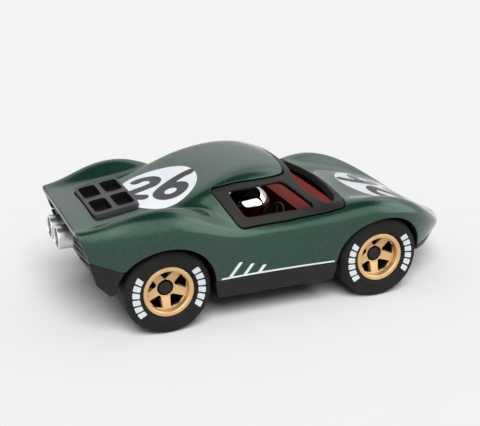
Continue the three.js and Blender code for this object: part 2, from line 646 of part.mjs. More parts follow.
SCREWS.forEach(([x, y], i) => {
  place(group, `base_screw_${i + 1}`, baseScrew(), brightMetal).position.set(x, y, FLOOR_Z + 0.4);
});

export default group;
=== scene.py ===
"""Looks of a stylised sports-racing coupe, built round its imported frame.

The skin of the car is one smooth surface. Each painted or moulded piece is the part of it
that a field keeps, with its edges rolled inwards. Shapes are worked out in millimetres, with
x measured from the rear axle, y from the centre plane and z from the ground.
"""

import math

import bmesh
import bpy
import numpy as np
from mathutils import Matrix, Vector


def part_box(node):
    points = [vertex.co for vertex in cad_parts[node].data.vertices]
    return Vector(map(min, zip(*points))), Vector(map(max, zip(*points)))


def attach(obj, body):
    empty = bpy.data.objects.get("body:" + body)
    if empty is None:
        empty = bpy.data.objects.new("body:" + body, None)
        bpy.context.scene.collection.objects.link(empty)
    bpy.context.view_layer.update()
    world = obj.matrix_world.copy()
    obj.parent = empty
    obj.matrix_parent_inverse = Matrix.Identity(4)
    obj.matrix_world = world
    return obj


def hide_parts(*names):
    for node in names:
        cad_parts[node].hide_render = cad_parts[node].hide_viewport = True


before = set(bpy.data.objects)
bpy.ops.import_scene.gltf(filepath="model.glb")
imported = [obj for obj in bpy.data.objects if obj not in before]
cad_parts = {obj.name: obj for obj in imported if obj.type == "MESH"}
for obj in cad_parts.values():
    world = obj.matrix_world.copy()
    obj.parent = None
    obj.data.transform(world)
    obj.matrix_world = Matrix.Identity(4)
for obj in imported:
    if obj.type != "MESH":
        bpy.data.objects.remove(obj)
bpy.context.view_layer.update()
MM = 0.001


def middle(node):
    low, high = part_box(node)
    return (low + high) / 2


# ---------------- sizes

REAR_AXLE = middle("rear_axle")
WHEELBASE = (middle("front_axle").x - REAR_AXLE.x) / MM
AXLE_Z = REAR_AXLE.z / MM
TYRE_RADIUS = (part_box("rear_left_tyre")[1].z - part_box("rear_left_tyre")[0].z) / 2 / MM
TYRE_WIDTH = 24.5
RIM_RADIUS = 16.2
WHEEL_FACE_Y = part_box("rear_left_rim")[1].y / MM
SHELL = 2.6
FRAME_DEPTH = 4.4
GAP = 0.3
WELL_WALL_Y = 31
FLOOR_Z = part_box("chassis_pan")[0].z / MM
TAIL_TOP = (-52.7, 69.3)
TAIL_LEAN = 0.29
ROOF_EDGE_Z = 86.8

# One row for each station along the car: x, the heights on and near the centre, and the
# [half width, height] pairs of roof knee, valley, fender crest, shoulder, waist, lower side
# and sill.
STATIONS = [
    (-63, 71, 70.5, (32, 70), (40.5, 70), (44.5, 70), (48, 66.5), (48, 52), (45.5, 36), (42, 19)),
    (-52, 70.3, 69.8, (32, 69), (42, 69.3), (48, 70.5), (51.5, 65.5), (51, 52), (48, 36), (45, 19)),
    (-39, 70.5, 70, (32, 69), (42, 68.8), (49.5, 74), (56, 66.5), (55, 52), (52, 36), (49, 19)),
    (-24, 72.7, 72.3, (33, 71.2), (42, 70), (51, 81), (61.5, 71), (60, 52), (56, 36), (53, 18)),
    (-10, 75.2, 74.8, (34, 73.3), (42.5, 71), (52, 84.5), (65, 73.5), (63.5, 52), (58.5, 35), (54.5, 18)),
    (5, 77.2, 76.8, (37, 75.8), (43.5, 71.8), (52, 84.5), (66, 73.5), (64, 52), (59, 33), (55, 17)),
    (19.5, 80.2, 79.7, (40.5, 81.2), (45.5, 73.5), (51.5, 78.5), (64.5, 69.5), (62.5, 50), (58.5, 32), (55, 17)),
    (34, 87.2, 86.3, (42, 87.3), (46, 75), (51, 68.5), (60.5, 63), (59.5, 49), (57.5, 31), (55, 17)),
    (48.5, 92.3, 91.4, (41.3, 90.6), (46, 75), (50.5, 62), (57.5, 58.5), (57, 47), (56.5, 31), (55, 17)),
    (63, 95, 94, (40.5, 92), (45.5, 74.5), (50.5, 60.5), (56.5, 57.5), (56, 47), (56, 31), (55, 17)),
    (77.5, 94.5, 93.5, (39, 91), (45, 74.5), (50.5, 60.5), (56.5, 57.5), (56, 47), (56, 31), (55, 17)),
    (91, 90.5, 89.5, (37.5, 86.5), (44.5, 73), (50.5, 61.5), (57, 58), (56.5, 47), (56, 31), (55, 17)),
    (104, 81.5, 81, (36, 78.5), (44.5, 70.5), (51, 63.5), (58, 58.5), (57, 47), (56.5, 31), (55, 17)),
    (117, 72.5, 72, (36, 70), (44.5, 68), (52, 66.5), (60, 60), (58.5, 47), (57, 31), (55.5, 17)),
    (130, 67.5, 67, (35, 65.8), (43.5, 66.5), (53, 70.2), (62.5, 63), (61, 48), (58.5, 32), (56, 17)),
    (144, 65.5, 65, (34, 63.3), (42.5, 64.8), (53.5, 71.6), (64, 63.5), (62, 48), (59, 33), (56, 17)),
    (158.5, 62.5, 62, (32, 60), (41, 61.5), (51.5, 68.6), (62, 61.5), (60.5, 47), (57.5, 33), (54.5, 17)),
    (173, 57, 56.5, (29, 54.5), (37, 56), (47.5, 62), (57.5, 56.5), (56, 44), (53.5, 31), (50, 17)),
    (188, 50, 49.5, (25, 48.5), (33, 48.8), (40.5, 51.8), (49.5, 48), (48, 38.5), (45, 28), (41, 20)),
    (200.5, 42.5, 42, (21.5, 41.5), (27, 41.8), (33, 42.2), (39.2, 38.8), (35, 31.5), (29, 25.5), (25, 20)),
    (209, 37, 37, (16, 36.7), (20, 36.4), (23, 35.8), (26, 33.6), (22.5, 29.5), (18, 25.5), (15, 22)),
    (215, 34, 34, (9, 33.8), (11.5, 33.6), (13.5, 33.3), (15.5, 32.2), (13.5, 30), (11.5, 27.5), (10, 25.5)),
    (218, 32.8, 32.8, (3, 32.8), (4, 32.7), (5, 32.5), (6, 32), (5.5, 31), (4.5, 30), (3.5, 29)),
]

# The painted shell ends along the first line and the charcoal pan's underside is the second.
SHELL_LINE = [
    (-70, 58.8), (-46.8, 51.4), (-38.7, 48.4), (-27, 44), (-20, 29.4), (114, 28.6), (120, 27.6),
    (170, 27.6), (180, 29.2), (190, 30.8), (230, 30.8),
]
BOTTOM_LINE = [
    (-70, 36.5), (-43.3, 36.5), (-35.3, 28.4), (-30, 28.4), (-14, FLOOR_Z), (156, FLOOR_Z),
    (176, 25), (190, 25.2), (230, 27.5),
]

# A wheel arch is half an ellipse over the axle height: its middle, half length and height, and
# the heights where its front and rear edges end. Below the axle height the edges spread.
ARCHES = {
    "rear": {"x": -0.8, "half": 31, "height": 30, "ends": (FLOOR_Z, 28.4)},
    "front": {"x": WHEELBASE + 0.6, "half": 31.2, "height": 28.6, "ends": (25, FLOOR_Z)},
}
ARCH_SPREAD = 0.2


# ---------------- the skin

def station_row(x, spine, brow, *pairs):
    left = [(pairs[0][0] / 2, brow), *pairs]
    return [(x, -y, z) for y, z in left[::-1]] + [(x, 0, spine)] + [(x, y, z) for y, z in left]


def extended(net, axis):
    """The net with one more row at each end, reflected through its end points."""
    first = 2 * net.take([0], axis) - net.take([1], axis)
    last = 2 * net.take([-1], axis) - net.take([-2], axis)
    return np.concatenate([first, net, last], axis)


NET = extended(extended(np.array([station_row(*s) for s in STATIONS], float), 0), 1)


def spline_weights(t):
    return np.stack([(1 - t) ** 3, 3 * t**3 - 6 * t * t + 4, -3 * t**3 + 3 * t * t + 3 * t + 1, t**3], -1) / 6


def skin(u, v):
    """Points of the skin: u runs from the tail to the nose, v from the right sill to the left one."""
    spans_u, spans_v = NET.shape[0] - 3, NET.shape[1] - 3
    a, b = np.clip(u, 0, 1) * spans_u, np.clip(v, 0, 1) * spans_v
    i = np.minimum(a.astype(int), spans_u - 1)
    j = np.minimum(b.astype(int), spans_v - 1)
    wu, wv = spline_weights(a - i), spline_weights(b - j)
    total = np.zeros((len(a), 3))
    for p in range(4):
        for q in range(4):
            total += (wu[:, p] * wv[:, q])[:, None] * NET[i + p, j + q]
    return total


def normals_of(surface, u, v, h=1e-4):
    along = surface(u + h, v) - surface(u - h, v)
    across = surface(u, v + h) - surface(u, v - h)
    n = np.cross(along, across)
    return n / np.maximum(np.linalg.norm(n, axis=1, keepdims=True), 1e-12)


def moved_out(surface, distance):
    """The same surface, moved along its normals."""
    return lambda u, v: surface(u, v) + distance * normals_of(surface, u, v)


# ---------------- fields: positive inside

def rounded(points, reach, steps=6):
    """Closed outline with each corner replaced by a curve that starts and ends at that reach."""
    points = np.array(points, float)
    result = []
    for before, corner, after in zip(np.roll(points, 1, 0), points, np.roll(points, -1, 0)):
        start = corner + (before - corner) * reach / np.linalg.norm(before - corner)
        end = corner + (after - corner) * reach / np.linalg.norm(after - corner)
        for t in np.linspace(0, 1, steps):
            result.append((1 - t) ** 2 * start + 2 * t * (1 - t) * corner + t * t * end)
    return np.array(result)


def rectangle(x0, x1, y0, y1, reach):
    """Rectangle with rounded corners."""
    return rounded([(x0, y0), (x1, y0), (x1, y1), (x0, y1)], reach)


def segment_distance(q, starts, ends):
    along = ends - starts
    size = np.maximum((along**2).sum(1), 1e-12)
    t = np.clip(((q[:, None] - starts) * along).sum(2) / size, 0, 1)
    return np.sqrt(((q[:, None] - starts - t[..., None] * along) ** 2).sum(2)).min(1)


def outline_field(points):
    """Signed distance inside a closed outline."""
    starts = np.array(points, float)
    ends = np.roll(starts, -1, 0)

    def field(q):
        x, y = q[:, 0, None], q[:, 1, None]
        spans = (starts[:, 1] > y) != (ends[:, 1] > y)
        rise = np.where(ends[:, 1] == starts[:, 1], 1, ends[:, 1] - starts[:, 1])
        reach = (ends[:, 0] - starts[:, 0]) * (y - starts[:, 1]) / rise + starts[:, 0]
        inside = (spans & (x < reach)).sum(1) % 2 == 1
        return np.where(inside, 1, -1) * segment_distance(q, starts, ends)

    return field


def stroke_field(points, half_width):
    """Positive within half_width of a line through the points."""
    points = np.array(points, float)
    return lambda q: half_width - segment_distance(q, points[:-1], points[1:])


def arc(cx, cy, rx, ry, start, end, steps=18):
    a = np.radians(np.linspace(start, end, steps))
    return np.stack([cx + rx * np.cos(a), cy + ry * np.sin(a)], 1)


def smooth_max(a, b, blend):
    return (a + b + np.sqrt((a - b) ** 2 + blend**2)) / 2


def over_line(line):
    """Height above a side-view line, measured square to it."""
    xs, zs = np.array(line, float).T

    def field(p):
        slope = np.interp(p[:, 0] + 0.5, xs, zs) - np.interp(p[:, 0] - 0.5, xs, zs)
        return (p[:, 2] - np.interp(p[:, 0], xs, zs)) / np.sqrt(1 + slope**2)

    return field


over_shell_line = over_line(SHELL_LINE)
over_bottom = over_line(BOTTOM_LINE)


def tail_x(z):
    return TAIL_TOP[0] + (TAIL_TOP[1] - z) * TAIL_LEAN


def off_tail(p):
    return (p[:, 0] - tail_x(p[:, 2])) / math.hypot(1, TAIL_LEAN)


def off_arch(p, arch):
    """Distance outside one wheel arch."""
    dx, dz = p[:, 0] - arch["x"], p[:, 2] - AXLE_Z
    a, b = arch["half"], arch["height"]
    slope = 2 * np.hypot(dx / a**2, dz / b**2) + 1e-6
    over = ((dx / a) ** 2 + (dz / b) ** 2 - 1) / slope
    below = (np.abs(dx) - a + dz * ARCH_SPREAD) / math.hypot(1, ARCH_SPREAD)
    return np.where(dz > 0, over, below)


def off_arches(p):
    return np.minimum(off_arch(p, ARCHES["rear"]), off_arch(p, ARCHES["front"]))


side_band = outline_field(rounded([
    (31.8, 84.4), (48, 60.1), (80, 60.4), (107, 62.5), (121.5, 65.5), (121.5, 75),
    (100, ROOF_EDGE_Z), (50, ROOF_EDGE_Z),
], 4))
side_window = outline_field(rounded([(43.2, 81.9), (81.5, 83), (101.5, 66.3), (53.1, 65.7)], 3.5))


def greenhouse(p):
    """The opening of the shell that the window frame fills."""
    x, y, z = p.T
    side = side_band(p[:, [0, 2]])
    panel_front = 88.8 - 4 * (y / 38) ** 2
    cowl = 125.5 - 3.5 * (y / 46) ** 2
    half = 38 + (x - 84.8) * 8 / 37.2
    front = np.minimum.reduce([x - panel_front, cowl - x, half - np.abs(y), z - 64.5])
    return smooth_max(side, front, 2.0) - 0.4


def cross_arc(nose, drop, half, steps=8):
    """Plan curve from right to left: nose is its x on the centre, which falls by drop at the half width."""
    y = np.linspace(-half, half, steps + 1)
    return np.stack([nose - drop * (y / half) ** 2, y], 1).tolist()


screen_plan = outline_field(rounded([
    *cross_arc(93.5, 3, 38), (110.5, 47.5), (115.5, 46.5),
    *cross_arc(123, 5.5, 42)[::-1], (115.5, -46.5), (110.5, -47.5),
], 2.4))


def screen(p):
    return np.where(p[:, 2] > 55, screen_plan(p[:, :2]), -50)


VENT = {"x0": -36.5, "x1": -8, "half": 27.5, "z": 74.4, "slope": 0.165}
vent_area = outline_field(rectangle(VENT["x0"], VENT["x1"], -VENT["half"], VENT["half"], 4))


def shell_field(p):
    vent = np.where(p[:, 2] > 60, vent_area(p[:, :2]), -50)
    opening = np.maximum(greenhouse(p), vent)
    return np.minimum.reduce([over_shell_line(p), off_arches(p), off_tail(p) + GAP, -opening]) - GAP


def frame_field(p):
    window = np.where(np.abs(p[:, 1]) > 25, side_window(p[:, [0, 2]]), -50)
    return np.minimum(greenhouse(p), -np.maximum(window, screen(p)))


def pan_field(p):
    return np.minimum.reduce([-over_shell_line(p), off_arches(p), off_tail(p), over_bottom(p)])


# ---------------- patches

class Patch:
    """The part of a surface that a field keeps: points, normals, faces and edge rings."""

    def __init__(self, surface, us, vs, field):
        u, v, faces = trim(surface, us, vs, field)
        self.points = surface(u, v)
        self.normals = normals_of(surface, u, v)
        self.faces = faces
        self.rings = edge_rings(faces)

    def rolled(self, radius, depth, closed=False, steps=4):
        """Points and faces with every edge rolled inwards and carried down to a depth.
        A closed patch gets an inner skin at that depth, with its edges rolled as well."""
        points, faces = [self.points], list(self.faces)
        count = len(self.points)
        inner_start = count
        if closed:
            points.append(self.points - depth * self.normals)
            faces += [[i + inner_start for i in face[::-1]] for face in self.faces]
            count += len(self.points)
        turn = np.linspace(0, math.pi / 2, steps + 1)[1:]
        for ring in self.rings:
            p, n = self.points[ring], self.normals[ring]
            along = np.roll(p, -1, 0) - np.roll(p, 1, 0)
            out = np.cross(along, n)
            out /= np.maximum(np.linalg.norm(out, axis=1, keepdims=True), 1e-12)
            r = (radius(p) if callable(radius) else np.full(len(p), radius))[:, None]
            rows = [p + out * r * math.sin(a) - n * r * (1 - math.cos(a)) for a in turn]
            if closed:
                rows += [p + out * r * math.sin(a) - n * (depth - r * (1 - math.cos(a))) for a in turn[::-1]]
            else:
                rows.append(p + out * r - n * depth)
            last = np.array(ring)
            for row in rows:
                index = np.arange(count, count + len(ring))
                points.append(row)
                faces += strip(last, index)
                last, count = index, count + len(ring)
            if closed:
                faces += strip(last, np.array(ring) + inner_start)
        return np.concatenate(points), faces


def strip(a, b):
    """Faces between two closed rings of the same length."""
    return np.stack([np.roll(a, -1), a, b, np.roll(b, -1)], 1).tolist()


def trim(surface, us, vs, field):
    """Grid of a surface cut exactly along a field's zero line, as u, v and faces."""
    rows, columns = len(us), len(vs)
    u, v = (a.ravel().copy() for a in np.meshgrid(us, vs, indexing="ij"))
    du, dv = us[1] - us[0], vs[1] - vs[0]
    value = field(surface(u, v))
    index = np.arange(rows * columns).reshape(rows, columns)
    settle(surface, field, u, v, value, index[1:-1, 1:-1].ravel(), du, dv)
    pairs = np.concatenate([
        np.stack([index[:-1].ravel(), index[1:].ravel()], 1),
        np.stack([index[:, :-1].ravel(), index[:, 1:].ravel()], 1),
    ])
    cut = pairs[value[pairs[:, 0]] * value[pairs[:, 1]] < 0]
    keep = np.where(value[cut[:, 0]] > 0, cut[:, 0], cut[:, 1])
    lose = np.where(value[cut[:, 0]] > 0, cut[:, 1], cut[:, 0])
    low, high = np.zeros(len(cut)), np.ones(len(cut))
    for _ in range(14):
        mid = (low + high) / 2
        inside = field(surface(u[keep] + (u[lose] - u[keep]) * mid, v[keep] + (v[lose] - v[keep]) * mid)) > 0
        low, high = np.where(inside, mid, low), np.where(inside, high, mid)
    crossing = {(a, b): len(u) + k for k, (a, b) in enumerate(np.sort(cut, 1).tolist())}
    corners = np.stack([index[:-1, :-1], index[1:, :-1], index[1:, 1:], index[:-1, 1:]], -1).reshape(-1, 4)
    some = (value[corners] > 0).any(1)
    whole = some & (value[corners] >= 0).all(1)
    faces = corners[whole].tolist()
    for quad in corners[some & ~whole].tolist():
        faces.append(cut_quad(quad, value, crossing))
    u = np.concatenate([u, u[keep] + (u[lose] - u[keep]) * low])
    v = np.concatenate([v, v[keep] + (v[lose] - v[keep]) * low])
    faces = [face for face in faces if len(face) > 2]
    used = np.unique(np.concatenate([np.array(face) for face in faces]))
    renumber = np.zeros(len(u), int)
    renumber[used] = np.arange(len(used))
    return u[used], v[used], [renumber[face].tolist() for face in faces]


def settle(surface, field, u, v, value, movable, du, dv):
    """Moves grid points that lie close to the zero line on to it, so that no sliver is left."""
    at_u, at_v = u[movable], v[movable]
    start = surface(at_u, at_v)
    reach = 1.2 * np.linalg.norm(surface(at_u + du, at_v) - start, axis=1)
    reach += 1.2 * np.linalg.norm(surface(at_u, at_v + dv) - start, axis=1)
    near = movable[np.abs(value[movable]) < 0.45 * reach]
    if not len(near):
        return
    a, b = u[near].copy(), v[near].copy()
    for _ in range(4):
        here = field(surface(a, b))
        fu = (field(surface(a + 0.05 * du, b)) - field(surface(a - 0.05 * du, b))) / 0.1
        fv = (field(surface(a, b + 0.05 * dv)) - field(surface(a, b - 0.05 * dv))) / 0.1
        step = here / np.maximum(fu**2 + fv**2, 1e-9)
        a, b = a - step * fu * du, b - step * fv * dv
    fine = (np.abs(a - u[near]) < 0.42 * du) & (np.abs(b - v[near]) < 0.42 * dv)
    fine &= np.abs(field(surface(a, b))) < 1e-3
    u[near[fine]], v[near[fine]], value[near[fine]] = a[fine], b[fine], 0


def cut_quad(quad, value, crossing):
    ring = []
    for k, a in enumerate(quad):
        before, after = quad[k - 1], quad[(k + 1) % 4]
        if value[a] > 0 or (value[a] == 0 and (value[before] >= 0 or value[after] >= 0)):
            ring.append(a)
        crossed = crossing.get((min(a, after), max(a, after)))
        if crossed is not None:
            ring.append(crossed)
    return ring


def edge_rings(faces):
    """Closed rings of the faces' free edges, each with its faces on the left."""
    edges = {(a, b) for face in faces for a, b in zip(face, face[1:] + face[:1])}
    after = {}
    for a, b in sorted(edges):
        if (b, a) not in edges:
            after.setdefault(a, []).append(b)
    rings = []
    while after:
        start = next(iter(after))
        ring, here = [start], start
        while True:
            following = after[here].pop()
            if not after[here]:
                del after[here]
            if following == start or following not in after:
                break
            ring.append(following)
            here = following
        if len(ring) > 2:
            rings.append(ring)
    return rings


def span(low, high, step):
    return np.linspace(low, high, max(int(round((high - low) / step)), 2) + 1)


def unit(count):
    return np.linspace(0, 1, count)


# ---------------- materials

def finish_material(name, colour, roughness, metallic=0.0, variation=0.12, grain=900, bump=0.05,
                    roughness_range=0.06, coat=0.0, coat_roughness=0.03, specular=0.5):
    """Moulded, cast or painted finish: colour and roughness drift, and a fine grain in relief."""
    material = bpy.data.materials.new(name)
    material.use_nodes = True
    nodes, links = material.node_tree.nodes, material.node_tree.links
    shader = nodes["Principled BSDF"]

    def put(kind, **values):
        made = nodes.new(kind)
        for socket, value in values.items():
            made.inputs[socket.replace("_", " ")].default_value = value
        return made

    for socket, value in (("Metallic", metallic), ("Coat Weight", coat), ("Coat Roughness", coat_roughness),
                          ("Specular IOR Level", specular)):
        shader.inputs[socket].default_value = value
    place = nodes.new("ShaderNodeTexCoord")
    drift = put("ShaderNodeTexNoise", Scale=45, Detail=4)
    links.new(place.outputs["Object"], drift.inputs["Vector"])
    ramp = nodes.new("ShaderNodeValToRGB")
    low, high = ramp.color_ramp.elements
    low.position, high.position = 0.3, 0.7
    low.color = (*[c * (1 - variation) for c in colour], 1)
    high.color = (*[min(c * (1 + variation), 1) for c in colour], 1)
    links.new(drift.outputs["Fac"], ramp.inputs["Fac"])
    links.new(ramp.outputs["Color"], shader.inputs["Base Color"])
    fine = put("ShaderNodeTexNoise", Scale=grain, Detail=3)
    links.new(place.outputs["Object"], fine.inputs["Vector"])
    spread = put("ShaderNodeMapRange", To_Min=max(roughness - roughness_range, 0.02),
                 To_Max=min(roughness + roughness_range, 1))
    links.new(fine.outputs["Fac"], spread.inputs["Value"])
    links.new(spread.outputs["Result"], shader.inputs["Roughness"])
    relief = put("ShaderNodeBump", Strength=bump, Distance=0.0004)
    links.new(fine.outputs["Fac"], relief.inputs["Height"])
    links.new(relief.outputs["Normal"], shader.inputs["Normal"])
    return material


def moulded(name, colour, roughness, specular=0.25, variation=0.12, grain=1600, bump=0.12):
    """Satin plastic, rubber or cloth with a fine grain."""
    return finish_material(name, colour, roughness, 0.0, variation, grain, bump, specular=specular)


def flake_paint(name, colour, flake):
    """Metallic paint: fine flakes of a brighter green under a smooth clear coat."""
    material = finish_material(name, colour, 0.42, metallic=0.8, variation=0.05, grain=1500, bump=0.0,
                               roughness_range=0.05, coat=1.0, coat_roughness=0.03, specular=0.0)
    nodes, links = material.node_tree.nodes, material.node_tree.links
    shader = nodes["Principled BSDF"]
    place = next(n for n in nodes if n.type == "TEX_COORD")
    ramp = next(n for n in nodes if n.type == "VALTORGB")
    cells = nodes.new("ShaderNodeTexVoronoi")
    cells.inputs["Scale"].default_value = 3800
    links.new(place.outputs["Object"], cells.inputs["Vector"])
    split = nodes.new("ShaderNodeSeparateColor")
    links.new(cells.outputs["Color"], split.inputs["Color"])
    pick = nodes.new("ShaderNodeMapRange")
    pick.inputs["From Min"].default_value = 0.6
    links.new(split.outputs["Red"], pick.inputs["Value"])
    mix = nodes.new("ShaderNodeMix")
    mix.data_type = "RGBA"
    links.new(pick.outputs["Result"], mix.inputs["Factor"])
    links.new(ramp.outputs["Color"], mix.inputs["A"])
    mix.inputs["B"].default_value = (*flake, 1)
    links.new(mix.outputs["Result"], shader.inputs["Base Color"])
    return material


PAINT = flake_paint("green_paint", (0.008, 0.040, 0.025), (0.018, 0.090, 0.055))
FRAME_BLACK = moulded("frame_moulding", (0.012, 0.0115, 0.011), 0.42, 0.22)
# A darker copy of the frame moulding, used as painted shade on the frame's inner faces.
FRAME_SHADE = moulded("frame_painted_shade", (0.005, 0.005, 0.005), 0.5, 0.15, variation=0.3, grain=900, bump=0.1)
CHARCOAL = moulded("charcoal_moulding", (0.010, 0.010, 0.0095), 0.45)
SLATE = moulded("slate_moulding", (0.040, 0.037, 0.043), 0.42, 0.4, bump=0.1)
# Near-black used as painted shade: wheel wells, grille slots, the sheet behind them, bore ends, vent pockets and
# the rims' hidden faces.
SHADE_BLACK = finish_material("painted_shade_black", (0.004, 0.004, 0.004), 0.7, variation=0.3, specular=0.1)
TRIM_BLACK = moulded("trim_black", (0.010, 0.010, 0.010), 0.42, variation=0.2, grain=900, bump=0.1)
SUIT = moulded("suit_cloth", (0.010, 0.010, 0.011), 0.8, 0.15, variation=0.35, grain=2400, bump=0.5)
RED = moulded("red_moulding", (0.16, 0.016, 0.010), 0.55, 0.1, variation=0.15, grain=1500)
RUBBER = moulded("tyre_rubber", (0.013, 0.013, 0.0125), 0.6, 0.12, variation=0.2, grain=2200, bump=0.22)
TYRE_WHITE = moulded("tyre_mark", (0.62, 0.66, 0.68), 0.5, 0.5, variation=0.06, grain=2400)
WHITE = finish_material("white_mark", (0.72, 0.76, 0.80), 0.25, variation=0.03, bump=0.0, coat=0.4,
                        specular=0.1)
INK = finish_material("black_mark", (0.012, 0.012, 0.013), 0.3, variation=0.2, bump=0.0, coat=0.8,
                      specular=0.0)
# Metals: roughness, metallic, variation, grain, bump and, where it differs, the spread of roughness.
CHROME = finish_material("chrome_plate", (0.83, 0.83, 0.84), 0.05, 1.0, 0.03, 500, 0.0, 0.02)
SILVER = finish_material("satin_silver", (0.58, 0.59, 0.60), 0.30, 1.0, 0.06, 1800, 0.03)
BRIGHT = finish_material("bright_lip", (0.86, 0.87, 0.88), 0.14, 1.0, 0.03, 900, 0.02, 0.03)
STEEL = finish_material("brushed_steel", (0.55, 0.56, 0.57), 0.32, 1.0, 0.08, 2200, 0.12)
GOLD = finish_material("champagne_gold", (0.66, 0.43, 0.21), 0.36, 0.6, 0.05, 2600, 0.10, 0.05)


# ---------------- pieces

BODY_ORIGIN = Vector((REAR_AXLE.x, 0, 0))


def shape(name, points, faces, looks, look_of_face=None, recalculate=False):
    """A mesh in metres from points in millimetres, with one or several materials."""
    mesh = bpy.data.meshes.new(name)
    mesh.from_pydata((np.asarray(points) * MM).tolist(), [], faces)
    if recalculate:
        work = bmesh.new()
        work.from_mesh(mesh)
        bmesh.ops.recalc_face_normals(work, faces=work.faces)
        work.to_mesh(mesh)
        work.free()
    mesh.shade_smooth()
    for look in looks if isinstance(looks, list) else [looks]:
        mesh.materials.append(look)
    if look_of_face is not None:
        mesh.polygons.foreach_set("material_index", look_of_face)
    return mesh


def add(name, mesh, body, replaces=(), matrix=None):
    """A new piece that rides on a body. Its own origin is the rear axle's foot unless a matrix is given."""
    piece = bpy.data.objects.new(name, mesh)
    bpy.context.scene.collection.objects.link(piece)
    piece.matrix_world = Matrix.Translation(BODY_ORIGIN) if matrix is None else matrix
    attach(piece, body)
    if replaces:
        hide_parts(*replaces)
    return piece


def build(name, points, faces, looks, slot, replaces=(), matrix=None, **how):
    """A new piece of the body, from its points and faces."""
    return add(name, shape(name, points, faces, looks, **how), "body", replaces, matrix)


def placed(x, y, z):
    """A place in millimetres, with x from the rear axle, as a matrix."""
    return Matrix.Translation(BODY_ORIGIN + Vector((x, y, z)) * MM)


def face_centres(points, faces):
    return np.array([points[face].mean(0) for face in faces])


def lathe(profile, segments, axis, closed=True):
    """Turned shape from (radius, distance along the axis) pairs, as points and faces."""
    profile = np.array(profile, float)
    angles = np.linspace(0, 2 * math.pi, segments, endpoint=False)
    r, a = profile[:, 0], profile[:, 1]
    c, s = np.cos(angles)[:, None], np.sin(angles)[:, None]
    along = np.ones_like(c) * a
    parts = {"x": (along, c * r, s * r), "y": (s * r, along, c * r), "z": (c * r, s * r, along)}[axis]
    points = np.stack(parts, -1).reshape(-1, 3)
    n = len(profile)
    faces = []
    for i in range(segments):
        j = (i + 1) % segments
        for k in range(n if closed else n - 1):
            m = (k + 1) % n
            faces.append([i * n + k, i * n + m, j * n + m, j * n + k])
    if not closed:
        faces.append([i * n for i in range(segments)][::-1])
        faces.append([i * n + n - 1 for i in range(segments)])
    return points, faces


def softened(points, reach, steps=5, closed=True):
    """A polyline with its corners rounded; an open one keeps its two ends."""
    if closed:
        return rounded(points, reach, steps)
    points = np.array(points, float)
    inside = rounded(points, reach, steps).reshape(len(points), steps, 2)[1:-1].reshape(-1, 2)
    return np.concatenate([points[:1], inside, points[-1:]])


SKIN_U, SKIN_V = unit(265), unit(199)


def shell_roll(p):
    """Rolled radius of the shell's edges, largest on the tail's lip."""
    return 0.45 + 1.2 * np.clip(1 - off_tail(p) / 4, 0, 1)


def body_shell():
    patch = Patch(skin, SKIN_U, SKIN_V, lambda p: shell_field(p) - shell_roll(p))
    points, faces = patch.rolled(shell_roll, SHELL)
    build("painted_shell", points, faces, PAINT, "paint_green", ["body_shell"])
    return patch


def frame_roll(p):
    """Rolled radius of the window frame's edges, smaller in the narrow band along the cowl."""
    return 0.9 - 0.6 * np.clip((p[:, 0] - 110) / 6, 0, 1)


def window_frame():
    fine_u = unit(3 * len(SKIN_U))
    patch = Patch(skin, fine_u, SKIN_V, lambda p: frame_field(p) - frame_roll(p))
    points, faces = patch.rolled(frame_roll, FRAME_DEPTH, closed=True)
    # The inner skin, and all but the first few strips of each rolled edge, take the frame's darker copy as
    # painted shade.
    lit, strips = 3, 9  # of the rolled edge's strips, the first few keep the outer colour
    looks = [np.zeros(len(patch.faces), int), np.ones(len(patch.faces), int)]
    for ring in patch.rings:
        looks.append(np.repeat((np.arange(strips) >= lit).astype(int), len(ring)))
    looks = np.concatenate(looks)
    centres = face_centres(points, faces)
    # The narrow band along the cowl takes the same painted shade.
    looks[(centres[:, 0] > 115.5) & (np.abs(centres[:, 1]) < 42)] = 1
    build("window_frame", points, faces, [FRAME_BLACK, FRAME_SHADE], "frame_black", ["greenhouse_frame"],
          look_of_face=looks)


def roof_lining():
    def field(p):
        x, y, z = p.T
        return np.minimum.reduce([2 - greenhouse(p), x - 34, 92 - x, z - 76, 46 - np.abs(y)])

    us, vs = np.linspace(0.3, 0.8, 120), np.linspace(0.25, 0.75, 90)
    lining = Patch(moved_out(skin, -SHELL - GAP), us, vs, field)
    points, faces = lining.rolled(0.3, 1.4, closed=True)
    build("roof_lining", points, faces, TRIM_BLACK, "frame_black")


def skin_half_width(x, z):
    """Half width of the lower side at a station and height, from the skin itself."""
    rows, columns = 400, 40
    us, vs = unit(rows), np.linspace(0, 0.25, columns)
    u, v = (a.ravel() for a in np.meshgrid(us, vs, indexing="ij"))
    grid = skin(u, v).reshape(rows, columns, 3)
    level = np.interp(grid[:, 0, 0], x, z)
    half = np.array([np.interp(level[i], grid[i, :, 2], -grid[i, :, 1]) for i in range(rows)])
    return np.interp(x, grid[:, 0, 0], half)


